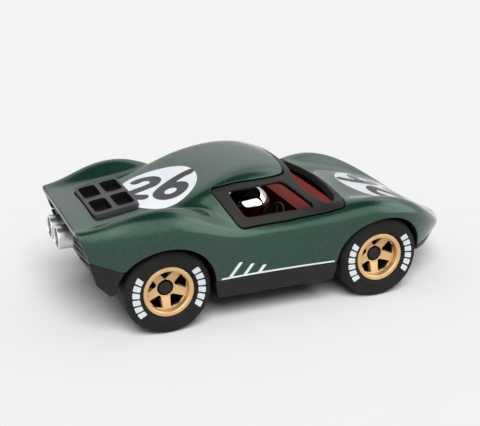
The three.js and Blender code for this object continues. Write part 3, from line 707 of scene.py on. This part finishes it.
def chassis_pan():
    radius = 0.7
    patch = Patch(skin, SKIN_U, SKIN_V, lambda p: pan_field(p) - radius)
    points, faces = patch.rolled(radius, SHELL)
    build("side_skirts", points, faces, CHARCOAL, "charcoal", ["chassis_pan"])
    start, length, inset = -34, 248, 1.6
    rib_pitch, rib_middle, rib_reach, rib_height = 13, 72, 34, 0.6
    line = np.array(BOTTOM_LINE, float).T
    xs = np.linspace(start, start + length, 120)
    halves = skin_half_width(xs, np.interp(xs, *line) + radius) - inset

    def floor(u, v):
        x = start + length * u
        y = (1 - 2 * v) * np.interp(x, xs, halves)
        z = np.interp(x, *line) + 0.3
        fade = np.clip(1 - np.abs(x - rib_middle) / rib_reach, 0, 0.25) * 4
        ribs = np.clip(np.cos(y * 2 * math.pi / rib_pitch), 0, 1) ** 2 * fade
        return np.stack([x, y, z + rib_height * ribs], 1)

    def floor_field(p):
        y = np.abs(p[:, 1])
        return np.minimum(np.maximum(off_arches(p), WELL_WALL_Y - inset - y), 60 - y)

    under = Patch(floor, unit(247), unit(117), lambda p: floor_field(p) - 0.4)
    points, faces = under.rolled(0.4, 2.2, closed=True)
    build("floor_pan", points, faces, CHARCOAL, "charcoal")
    return patch


def wheel_wells(patches):
    """Arched liners and inner walls, up to the edges of the shell and the skirts."""
    edges = np.concatenate([patch.points[ring] for patch in patches for ring in patch.rings])
    for end, arch in ARCHES.items():
        near = edges[np.abs(off_arch(edges, arch)) < 1.3]
        front_end, rear_end = arch["ends"]
        turn = np.linspace(0, math.pi, 61)
        rim_x, rim_z = arch["half"] * np.cos(turn), arch["height"] * np.sin(turn)
        for low, where in ((front_end, 0), (rear_end, len(rim_x))):
            if low < AXLE_Z:
                drop = np.linspace(AXLE_Z - low, 0, 7)[:-1]
                side = arch["half"] + ARCH_SPREAD * drop
                drop, side = (drop, side) if where == 0 else (drop[::-1], -side[::-1])
                rim_x = np.insert(rim_x, where if where == 0 else len(rim_x), side)
                rim_z = np.insert(rim_z, where if where == 0 else len(rim_z), -drop)

        def bearing(x, z):
            degrees = np.degrees(np.arctan2(z, x)) % 360
            return np.where(degrees > 270, degrees - 360, degrees)

        around = bearing(near[:, 0] - arch["x"], near[:, 2] - AXLE_Z)
        order = np.argsort(around)
        reach = np.interp(bearing(rim_x, rim_z), around[order], np.abs(near[order, 1])) - 1.2
        count = len(rim_x)
        for side, sign in (("left", 1), ("right", -1)):
            across = [sign * (WELL_WALL_Y + (reach - WELL_WALL_Y) * t) for t in unit(6)]
            points = np.concatenate([np.stack([arch["x"] + rim_x, y, AXLE_Z + rim_z], 1) for y in across])
            faces = [[k * count + i, k * count + i + 1, (k + 1) * count + i + 1, (k + 1) * count + i]
                     for k in range(5) for i in range(count - 1)]
            faces.append(list(range(count)))
            # The wells are coloured near-black as painted shade, darker than the charcoal moulding they belong
            # to.
            build(f"{end}_{side}_wheel_well", points, faces, SHADE_BLACK, "charcoal", recalculate=True)


def tail_contour():
    """Outline of the skin where the tail plane cuts it, as (y, z)."""
    v = unit(161)
    low, high = np.zeros(len(v)), np.full(len(v), 0.3)
    for _ in range(24):
        mid = (low + high) / 2
        behind = off_tail(skin(mid, v)) < 0
        low, high = np.where(behind, mid, low), np.where(behind, high, mid)
    return skin(low, v)[:, 1:]


EXHAUST = {"radius": 7.6, "bore": 6.3, "y": 9.8, "z": 54.5, "tip": -57, "length": 20}


def rear_fascia():
    inside = outline_field(tail_contour())
    high, half = 66.0, 46.0
    slots = [(45.9, 25, 40), (50.5, 19.5, 40), (55.1, 19.5, 40), (59.7, 19.5, 40), (64.1, 0, 38)]

    def foot(y):
        return 46 - 7.6 * np.clip((np.abs(y) - 15) / 29, 0, 1)

    def bow(y, z):
        return 3.5 * np.clip(1 - (y / half) ** 2, 0, 1) * np.clip((high - z) / (high - foot(y)), 0, 1)

    def panel(u, v):
        z = 37.5 + (high - 36.5) * u
        y = -50 + 100 * v
        recess = np.zeros(len(z))
        for centre, start, end in slots:
            across = np.minimum(np.abs(y) - start, end - np.abs(y)) if start else end - np.abs(y)
            inside_slot = np.minimum(0.95 - np.abs(z - centre), across)
            recess = np.maximum(recess, np.clip(inside_slot / 0.3, 0, 1))
        slat = 0.35 * np.abs((z - 45.9) / 4.6 % 1 - 0.5) * 2
        return np.stack([tail_x(z) + 1.9 + slat + 2.2 * recess - bow(y, z), y, z], 1)

    def field(p):
        y, z = p[:, 1], p[:, 2]
        pipes = np.hypot(np.abs(y) - EXHAUST["y"], z - EXHAUST["z"]) - EXHAUST["radius"] - GAP
        within = inside(p[:, 1:]) - SHELL - GAP
        return np.minimum.reduce([within, z - foot(y), high - z, half - np.abs(y), pipes])

    edge = 0.25
    patch = Patch(panel, unit(151), unit(271), lambda p: field(p) - edge)
    points, faces = patch.rolled(edge, 1.6)
    centres = face_centres(points, faces)
    depth = centres[:, 0] - tail_x(centres[:, 2]) + bow(centres[:, 1], centres[:, 2])
    # Faces set deeper than 3.2 mm into the slots are coloured near-black as painted shade.
    looks = (depth > 3.2).astype(int)
    build("rear_grille", points, faces, [FRAME_BLACK, SHADE_BLACK], "charcoal", ["rear_fascia"],
          look_of_face=looks)
    # A flat sheet behind the grille, coloured near-black as painted shade so that the slots read dark.
    corners = [(tail_x(z) + 5.2, y, z) for z in (38, high + 0.5) for y in (-half, half)]
    build("tail_shade_sheet", np.array(corners), [[0, 1, 3, 2]], SHADE_BLACK, "charcoal")


def exhausts():
    e = EXHAUST
    outer = softened([(0.01, e["length"]), (e["radius"], e["length"]), (e["radius"], 0), (e["bore"], 0),
                      (e["bore"], 14), (0.01, 14)], 0.45, closed=False)
    points, faces = lathe(outer, 64, "x", closed=False)
    centres = face_centres(points, faces)
    radius = np.hypot(centres[:, 1], centres[:, 2])
    # The inside of the bore beyond 9 mm, with its closed end, is coloured near-black as painted shade.
    look = np.where((radius < e["bore"] + 0.05) & (centres[:, 0] > 9), 2, np.where(centres[:, 0] < 0.6, 1, 0))
    mesh = shape("exhaust_pipe", points, faces, [SILVER, BRIGHT, SHADE_BLACK], look, recalculate=True)
    for side, y in (("right", -e["y"]), ("left", e["y"])):
        spot = placed(e["tip"], y, e["z"])
        add(f"exhaust_pipe_{side}", mesh, "body", [f"exhaust_{side}"], spot)


def vent_plate():
    centre = (VENT["x0"] + VENT["x1"]) / 2
    half_x, half_y = 5.4, 10.5
    pockets = [outline_field(rectangle(centre + dx - half_x, centre + dx + half_x, y - half_y, y + half_y, 3))
               for dx in (-7, 7) for y in (-13.5, 13.5)]

    def sunk(q):
        return np.maximum.reduce([pocket(q) for pocket in pockets])

    def level(drop):
        def surface(u, v):
            x = VENT["x0"] + (VENT["x1"] - VENT["x0"]) * u
            y = VENT["half"] * (2 * v - 1)
            ridge = 0.45 * np.exp(-(((sunk(np.stack([x, y], 1)) + 0.55) / 0.5) ** 2)) * (drop == 0)
            return np.stack([x, y, VENT["z"] + (x - centre) * VENT["slope"] + ridge - drop], 1)
        return surface

    us, vs = unit(101), unit(189)
    edge, depth = 0.4, 5.5
    top = Patch(level(0), us, vs, lambda p: np.minimum(vent_area(p[:, :2]), -sunk(p[:, :2])) - edge)
    slope = VENT["slope"]
    top.normals[:] = np.array([-slope, 0, 1]) / math.hypot(1, slope)
    plate, faces = top.rolled(edge, depth)
    looks = [np.zeros(len(top.faces), int)]
    # The walls of the pockets are coloured near-black as painted shade; the plate's outer edge keeps the slate.
    for ring in top.rings:
        wall = 1 if vent_area(top.points[ring][:, :2]).min() > 1 else 0
        looks.append(np.repeat([0, 0, 0, 0, wall], len(ring)))
    # The floor seen through the pockets is coloured near-black as painted shade.
    bottom = Patch(level(depth - 0.7), us[::4], vs[::4], lambda p: vent_area(p[:, :2]) - 1)
    faces += [[i + len(plate) for i in face] for face in bottom.faces]
    looks.append(np.ones(len(bottom.faces), int))
    points = np.concatenate([plate, bottom.points])
    build("deck_vent", points, faces, [SLATE, SHADE_BLACK], "vent_slate", ["rear_vent_plate"],
          look_of_face=np.concatenate(looks))


def decal(name, field, look, lift, side=0):
    """Painted mark: a thin patch just over the skin. side keeps it on one flank."""
    def keep(p):
        flank = np.full(len(p), 50.0) if side == 0 else p[:, 1] * side
        return np.minimum.reduce([field(p), shell_field(p) - shell_roll(p), flank])

    u, v = (a.ravel() for a in np.meshgrid(unit(240), unit(240), indexing="ij"))
    near = keep(skin(u, v)) > -1.5
    pad = 0.01
    cell, skin_length, skin_girth = 0.45, 281, 250
    us = span(max(u[near].min() - pad, 0), min(u[near].max() + pad, 1), cell / skin_length)
    vs = span(max(v[near].min() - pad, 0), min(v[near].max() + pad, 1), cell / skin_girth)
    patch = Patch(moved_out(skin, lift), us, vs, keep)
    points, faces = patch.rolled(0.02, lift)
    build(name, points, faces, look, "paint_green")


def digit_strokes():
    """A two and a six, about 25 mm high, as lines through their middles."""
    two = np.concatenate([arc(0, 6.2, 6.2, 6.2, 165, -38), [(-6.4, -12.4), (6.9, -12.4)]])
    ring = arc(0, -5.7, 6.6, 6.8, 0, 360, 36)
    stem = arc(6.9, -5.7, 13.5, 19.0, 180, 104)
    return two, ring, stem


def number_field(centre, up):
    """The race number laid on the skin: centre is (x, y) and up its upward direction in degrees."""
    two, ring, stem = digit_strokes()
    half_stroke, shift_of = 3.2, 10.2
    fields = [(stroke_field(stroke, half_stroke), shift)
              for stroke, shift in ((two, -shift_of), (ring, shift_of), (stem, shift_of))]
    a, size = math.radians(up), 1.15

    def field(p):
        x, y = p[:, 0] - centre[0], p[:, 1] - centre[1]
        q = np.stack([x * math.sin(a) - y * math.cos(a), x * math.cos(a) + y * math.sin(a)], 1) / size
        inked = [line(q - np.array([shift, 0])) for line, shift in fields]
        return np.where(p[:, 2] > 30, np.maximum.reduce(inked), -50)

    return field


# The race number's discs: middle, half length and half width, and the number's upward direction.
ROUNDELS = {"rear": ((9.5, -8), (24.5, 30.5), 50), "front": ((165, -8), (25.5, 29), 210)}


def roundels():
    for name, (centre, radii, up) in ROUNDELS.items():
        def disc(p, centre=centre, radii=radii):
            reach = np.hypot((p[:, 0] - centre[0]) / radii[0], (p[:, 1] - centre[1]) / radii[1])
            return np.where(p[:, 2] > 35, (1 - reach) * radii[0], -50)

        number = number_field(centre, up)
        decal(f"{name}_roundel", disc, WHITE, 0.05)
        decal(f"{name}_number", lambda p: np.minimum(number(p), disc(p)), INK, 0.09)


def door_stripes():
    """A thin white line along each door, with three slanted bars on its rear end."""
    line = outline_field([(34, 30), (112, 29.6), (112, 30.6), (34, 31.2)])
    foot, width, lean = 30.4, 2.6, 0.8
    bars = [outline_field([(x, foot), (x + width, foot), (x + width + rise * lean, foot + rise),
                           (x + rise * lean, foot + rise)]) for x, rise in ((38, 9.5), (48, 7.2), (58, 5))]

    def field(p):
        q = p[:, [0, 2]]
        return np.maximum.reduce([line(q), *[bar(q) for bar in bars]])

    for side, sign in (("left", 1), ("right", -1)):
        decal(f"door_stripe_{side}", field, WHITE, 0.05, sign)


# ---------------- cabin and driver

def bevelled_copy(name, node, width, look):
    """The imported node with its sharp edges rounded."""
    work = bmesh.new()
    work.from_mesh(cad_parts[node].data)
    bmesh.ops.remove_doubles(work, verts=work.verts, dist=1e-6)
    bmesh.ops.dissolve_limit(work, angle_limit=math.radians(2), verts=work.verts, edges=work.edges)
    sharp = [e for e in work.edges if len(e.link_faces) == 2 and e.calc_face_angle(0) > math.radians(32)]
    bmesh.ops.bevel(work, geom=sharp, offset=width * MM, segments=3, profile=0.5, affect="EDGES",
                    clamp_overlap=True)
    mesh = bpy.data.meshes.new(name)
    work.to_mesh(mesh)
    work.free()
    mesh.shade_smooth()
    mesh.materials.clear()
    mesh.materials.append(look)
    return add(name, mesh, "body", [node], Matrix.Identity(4))


def ellipsoid(radii, rows=40, segments=72, cut=-1.0):
    """Egg form round its own middle, with its lower end left open below a share of its height."""
    start = math.asin(max(cut, -0.999))
    lat = np.linspace(start, math.pi / 2 * 0.999, rows)
    profile = [(math.cos(a), math.sin(a)) for a in lat]
    points, faces = lathe(profile, segments, "z", closed=False)
    return points * np.array(radii), faces


DRIVER_Y = middle("driver_helmet").y / MM
HELMET_LOW, HELMET_HIGH = (np.array(corner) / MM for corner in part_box("driver_helmet"))


def helmet():
    centre = (HELMET_LOW + HELMET_HIGH) / 2
    radii = (HELMET_HIGH - HELMET_LOW) / 2
    spot = Matrix.Translation(Vector(centre * MM))
    points, faces = ellipsoid(radii, cut=-0.86)
    build("helmet_dome", points, faces, CHROME, "helmet_chrome", ["driver_helmet"], spot, recalculate=True)

    def face_opening(u, v):
        turn = np.radians(-66 + 132 * u)
        lift = np.radians(-34 + 48 * v)
        around = np.stack([np.cos(lift) * np.cos(turn), np.cos(lift) * np.sin(turn), np.sin(lift)], 1)
        return around * (radii + 0.25)

    outline = outline_field(rectangle(-60, 60, -30, 10, 9))

    def visor_field(p):
        q = p / (radii + 0.25)
        turn, lift = np.arctan2(q[:, 1], q[:, 0]), np.arcsin(np.clip(q[:, 2], -1, 1))
        return outline(np.degrees(np.stack([turn, lift], 1))) * 0.2

    visor = Patch(face_opening, unit(60), unit(30), visor_field)
    points, faces = visor.rolled(0.2, 0.6)
    build("helmet_visor", points, faces, TRIM_BLACK, "trim_black", (), spot)


def driver_body():
    low, high = (np.array(corner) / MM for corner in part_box("driver_torso"))
    middle_of_body = (low + high) / 2
    reach = (high - low) / 2
    profile = softened([
        (0.01, -1), (0.86, -1), (0.97, -0.3), (1.0, 0.3), (0.8, 0.66), (0.42, 0.82), (0.38, 0.98), (0.01, 0.98),
    ], 0.14, closed=False)
    points, faces = lathe(profile, 56, "z", closed=False)
    fold = 1 + 0.02 * np.sin(points[:, 2] * 14 + 2 * np.sin(np.arctan2(points[:, 1], points[:, 0]) * 3))
    points = points * np.stack([fold, fold, np.ones(len(fold))], 1) * reach * np.array([0.98, 0.98, 1])
    spot = Matrix.Translation(Vector(middle_of_body * MM))
    build("driver_body", points, faces, SUIT, "suit_black", ["driver_torso"], spot, recalculate=True)


STEERING = {"x": 87, "z": 52, "radius": 8.5, "tube": 0.9, "tilt": 0.45}


def steering():
    s = STEERING
    turn = placed(s["x"], DRIVER_Y, s["z"]) @ Matrix.Rotation(math.pi / 2 + s["tilt"], 4, "Y")
    ring = [(s["radius"] + s["tube"] * math.cos(a), s["tube"] * math.sin(a))
            for a in np.linspace(0, 2 * math.pi, 12, endpoint=False)]
    boss = softened([(0.01, -0.7), (1.9, -0.7), (1.9, 0.7), (0.01, 0.7)], 0.3, 4, closed=False)
    parts = [lathe(ring, 56, "z"), lathe(boss, 32, "z", closed=False)]
    half = outline_field(rectangle(1.4, s["radius"], -0.8, 0.8, 0.4))
    for k in range(3):
        angle = k * 2 * math.pi / 3 + math.pi
        bar = Patch(lambda u, v: np.stack([9 * u, 2 * v - 1, 0.35 + 0 * u], 1), unit(28), unit(9),
                    lambda p: half(p[:, :2]) - 0.15)
        points, faces = bar.rolled(0.15, 0.7, closed=True)
        c, q = math.cos(angle + math.pi / 2), math.sin(angle + math.pi / 2)
        parts.append((points @ np.array([[c, q, 0], [-q, c, 0], [0, 0, 1]]), faces))
    points, faces = joined(parts)
    build("wheel_of_driver", points, faces, TRIM_BLACK, "trim_black", ["steering_wheel"], turn,
          recalculate=True)
    column = softened([(0.01, 1), (1.1, 1), (1.1, 14), (0.01, 14)], 0.3, 4, closed=False)
    points, faces = lathe(column, 28, "z", closed=False)
    build("column_of_wheel", points, faces, TRIM_BLACK, "trim_black", ["steering_column"], turn,
          recalculate=True)


def joined(parts):
    points, faces, count = [], [], 0
    for p, f in parts:
        points.append(p)
        faces += [[i + count for i in face] for face in f]
        count += len(p)
    return np.concatenate(points), faces


def cabin():
    bevelled_copy("cabin_tub", "interior_tub", 0.9, RED)
    bevelled_copy("bucket_seat", "driver_seat", 1.6, RED)


# ---------------- wheels
# A wheel is made round its own centre with its outer face towards +Y, inboard being -Y.

def tyre_mesh():
    bead, width = RIM_RADIUS + GAP, TYRE_WIDTH
    profile = softened([
        (bead, 0.6), (bead + 1.2, -0.5), (18.6, -0.7), (24.4, -0.7), (25, -0.2), (25.8, -0.2), (26.5, 0.5),
        (TYRE_RADIUS, 2.2), (TYRE_RADIUS, width - 2.2), (26.3, width - 0.4), (23.6, width + 0.6),
        (18.6, width + 0.6), (bead, width - 0.4),
    ], 0.3, 4)
    segments = 216
    points, faces = lathe(np.stack([profile[:, 0], -profile[:, 1]], 1), segments, "y")
    r = np.hypot(points[:, 0], points[:, 2])
    angle = np.arctan2(points[:, 2], points[:, 0])
    shoulder = np.clip(1 - np.abs(r - 26.9) / 0.9, 0, 1)
    notch = np.clip(np.cos(angle * 24) * 4 - 2.6, 0, 1)
    shrink = 1 - 0.022 * shoulder * notch
    points[:, 0] *= shrink
    points[:, 2] *= shrink
    return shape("tyre", points, faces, RUBBER, recalculate=True)


def tyre_marks_mesh():
    """Two arcs of plain slanted blocks on the side wall."""
    parts = []
    half, slant, pitch = 4.6, 1.0, 12.4
    outline = outline_field(rounded([
        (-half - slant, 0.1), (half - slant, 0.1), (half + slant, 4.7), (-half + slant, 4.7),
    ], 0.8))
    for start in (-34, 146):
        for k in range(6):
            middle_angle = start + k * pitch

            def wall(u, v, middle_angle=middle_angle):
                radius = 18.4 + 5.2 * u
                a = np.radians(middle_angle - 8 + 16 * v)
                return np.stack([radius * np.cos(a), np.full(len(u), 0.86), radius * np.sin(a)], 1)

            def keep(p, middle_angle=middle_angle):
                a = np.degrees(np.arctan2(p[:, 2], p[:, 0])) - middle_angle
                a = (a + 180) % 360 - 180
                return outline(np.stack([a, np.hypot(p[:, 0], p[:, 2]) - 18.6], 1)) * 0.3

            patch = Patch(lambda u, v: wall(u, 1 - v), unit(14), unit(22), keep)
            parts.append(patch.rolled(0.08, 0.2))
    points, faces = joined(parts)
    return shape("tyre_marks", points, faces, TYRE_WHITE)


SPOKE = {"count": 5, "inner": 6.4, "outer": 12.3, "hub": 5.6}


def rim_mesh():
    width, lip = TYRE_WIDTH - 1, RIM_RADIUS - 3.1
    barrel = softened([
        (RIM_RADIUS, 0.35), (RIM_RADIUS - 0.45, -0.1), (lip + 0.7, 0.0), (lip, 0.7), (lip, 4.6),
        (14.3, 6.6), (14.3, width), (RIM_RADIUS, width),
    ], 0.22, 4)
    parts = [lathe(np.stack([barrel[:, 0], -barrel[:, 1]], 1), 96, "y")]

    def inboard(r):
        return np.interp(r, [0, SPOKE["hub"] + 0.5, 9, 14.9], [7.4, 7.3, 6.3, 4.4])

    half, inner, outer = math.pi / SPOKE["count"] * 0.66, SPOKE["inner"], SPOKE["outer"]
    windows = []
    for k in range(SPOKE["count"]):
        a = k * 2 * math.pi / SPOKE["count"] + math.pi / 2
        at = [(inner, -0.13), (outer + 0.2, -half), (outer + 0.9, 0), (outer + 0.2, half), (inner, 0.13)]
        windows.append(outline_field(rounded([(r * math.cos(a + t), r * math.sin(a + t)) for r, t in at], 0.5)))

    def disc(u, v):
        z, x = 30 * u - 15, 30 * v - 15
        return np.stack([x, -inboard(np.hypot(x, z)), z], 1)

    def keep(p):
        q = p[:, [0, 2]]
        r = np.hypot(q[:, 0], q[:, 1])
        return np.minimum.reduce([14.6 - r, r - 5.1, *[-window(q) for window in windows]])

    patch = Patch(disc, unit(97), unit(97), lambda p: keep(p) - 0.45)
    parts.append(patch.rolled(0.45, 3.6, closed=True, steps=3))
    dish, back = -13.5, -14.5
    parts.append(lathe([(0.01, dish), (14.3, dish), (14.3, back), (0.01, back)], 96, "y", closed=False))
    points, faces = joined(parts)
    centres = face_centres(points, faces)
    # The faces behind the spokes are coloured near-black as painted shade, so the windows read dark.
    inner = (centres[:, 1] < -8.5) & (np.hypot(centres[:, 0], centres[:, 2]) < 14.6)
    return shape("rim", points, faces, [GOLD, SHADE_BLACK], inner.astype(int), recalculate=True)


def hub_mesh():
    profile = softened([(0.01, -6.6), (3.6, -6.6), (4.3, -7.3), (4.3, -9), (0.01, -9)], 0.35, 4, closed=False)
    points, faces = lathe(profile, 56, "y", closed=False)
    return shape("hub_cap", points, faces, TRIM_BLACK, recalculate=True)


def wheels():
    meshes = {"tyre": tyre_mesh(), "marks": tyre_marks_mesh(), "rim": rim_mesh(), "hub": hub_mesh()}
    for end, x in (("rear", 0), ("front", WHEELBASE)):
        for side, sign in (("left", 1), ("right", -1)):
            spot = placed(x, sign * WHEEL_FACE_Y, AXLE_Z)
            if sign < 0:
                spot = spot @ Matrix.Rotation(math.pi, 4, "Z")
            body, name = f"{end}_wheels", f"{end}_{side}"
            add(f"{name}_tyre_round", meshes["tyre"], body, [f"{name}_tyre"], spot)
            add(f"{name}_tyre_marks", meshes["marks"], body, (), spot)
            add(f"{name}_spoked_rim", meshes["rim"], body, [f"{name}_rim"], spot)
            add(f"{name}_centre_cap", meshes["hub"], body, [f"{name}_hub_cap"], spot)


def kept_nodes():
    """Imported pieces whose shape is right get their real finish."""
    for name in ["rear_axle", "front_axle", *[f"base_screw_{k}" for k in range(1, 5)]]:
        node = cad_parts[name]
        node.data.materials.clear()
        node.data.materials.append(STEEL)


# ---------------- studio

# Soft light panels round the car: bearing and lift of the middle, then the angles from it
# where the panel is full and where it ends, all in degrees, and the light it adds. The last,
# negative one is the dark gap overhead: a factor on what is there.
STUDIO_LEVEL = 0.62
PANELS = [
    (-30, 18, 16, 40, 1.9),
    (-100, 40, 20, 50, 1.0),
    (-152, 28, 15, 38, 1.4),
    (60, 62, 25, 52, 0.45),
    (5, 50, 12, 32, 0.8),
    (-50, 82, 16, 34, -0.06),
]

# The panels are seen in the glossy finishes. Even soft light comes from two wide lamps: their
# directions, angular widths in degrees and strengths.
LAMPS = [("front_light", (0.15, 0.62, -0.80), 40, 3.05), ("overhead_light", (0.05, 0.0, -1), 150, 1.15)]
FLOOR_HALF = 6.0


def pale_floor():
    floor = bpy.data.meshes.new("floor")
    corners = [(FLOOR_HALF * x, FLOOR_HALF * y, 0) for x, y in ((-1, -1), (1, -1), (1, 1), (-1, 1))]
    floor.from_pydata(corners, [], [[0, 1, 2, 3]])
    pale = finish_material("pale_floor", (0.80, 0.80, 0.80), 0.75, variation=0.004, bump=0.0, specular=0.0)
    floor.materials.append(pale)
    plane = bpy.data.objects.new("floor", floor)
    bpy.context.scene.collection.objects.link(plane)


def surroundings():
    world = bpy.data.worlds.new("studio")
    bpy.context.scene.world = world
    world.use_nodes = True
    nodes, links = world.node_tree.nodes, world.node_tree.links
    place = nodes.new("ShaderNodeTexCoord")

    def combined(operation, a, b):
        node = nodes.new("ShaderNodeMath")
        node.operation = operation
        for socket, value in zip(node.inputs, (a, b)):
            if isinstance(value, (int, float)):
                socket.default_value = value
            else:
                links.new(value, socket)
        return node.outputs["Value"]

    level = None
    for bearing, lift, full, none, value in PANELS:
        toward = nodes.new("ShaderNodeVectorMath")
        toward.operation = "DOT_PRODUCT"
        bearing, lift = math.radians(bearing), math.radians(lift)
        level_part = math.cos(lift)
        direction = (level_part * math.cos(bearing), level_part * math.sin(bearing), math.sin(lift))
        toward.inputs[1].default_value = direction
        links.new(place.outputs["Generated"], toward.inputs[0])
        panel = nodes.new("ShaderNodeMapRange")
        panel.interpolation_type = "SMOOTHSTEP"
        panel.inputs["From Min"].default_value = math.cos(math.radians(none))
        panel.inputs["From Max"].default_value = math.cos(math.radians(full))
        panel.inputs["To Min"].default_value = 0 if value > 0 else 1
        panel.inputs["To Max"].default_value = abs(value)
        links.new(toward.outputs["Value"], panel.inputs["Value"])
        if value > 0:
            level = combined("ADD", STUDIO_LEVEL if level is None else level, panel.outputs["Result"])
        else:
            level = combined("MULTIPLY", level, panel.outputs["Result"])
    tint = nodes.new("ShaderNodeVectorMath")
    tint.operation = "SCALE"
    tint.inputs[0].default_value = (1.0, 1.0, 0.985)
    links.new(level, tint.inputs["Scale"])
    links.new(tint.outputs["Vector"], nodes["Background"].inputs["Color"])
    world.cycles_visibility.diffuse = False


def lamps_and_camera():
    scene = bpy.context.scene
    scene.view_settings.view_transform = "Standard"
    for name, down, spread, power in LAMPS:
        light = bpy.data.lights.new(name, "SUN")
        light.energy = power
        light.angle = math.radians(spread)
        lamp = bpy.data.objects.new(name, light)
        lamp.rotation_mode = "QUATERNION"
        lamp.rotation_quaternion = Vector(down).to_track_quat("-Z", "Y")
        lamp.visible_glossy = False
        scene.collection.objects.link(lamp)

    camera = bpy.data.cameras.new("camera")
    camera.lens = 75.3
    camera.sensor_width = 36
    view = bpy.data.objects.new("camera", camera)
    view.location = (-0.2493, -0.5847, 0.2827)
    view.rotation_euler = (math.radians(90 - 20.26), 0, math.radians(-22.16))
    scene.collection.objects.link(view)
    scene.camera = view


# ---------------- assembly

pale_floor()
surroundings()
lamps_and_camera()
shell = body_shell()
window_frame()
roof_lining()
skirts = chassis_pan()
wheel_wells([shell, skirts])
rear_fascia()
exhausts()
vent_plate()
roundels()
door_stripes()
cabin()
helmet()
driver_body()
steering()
wheels()
kept_nodes()
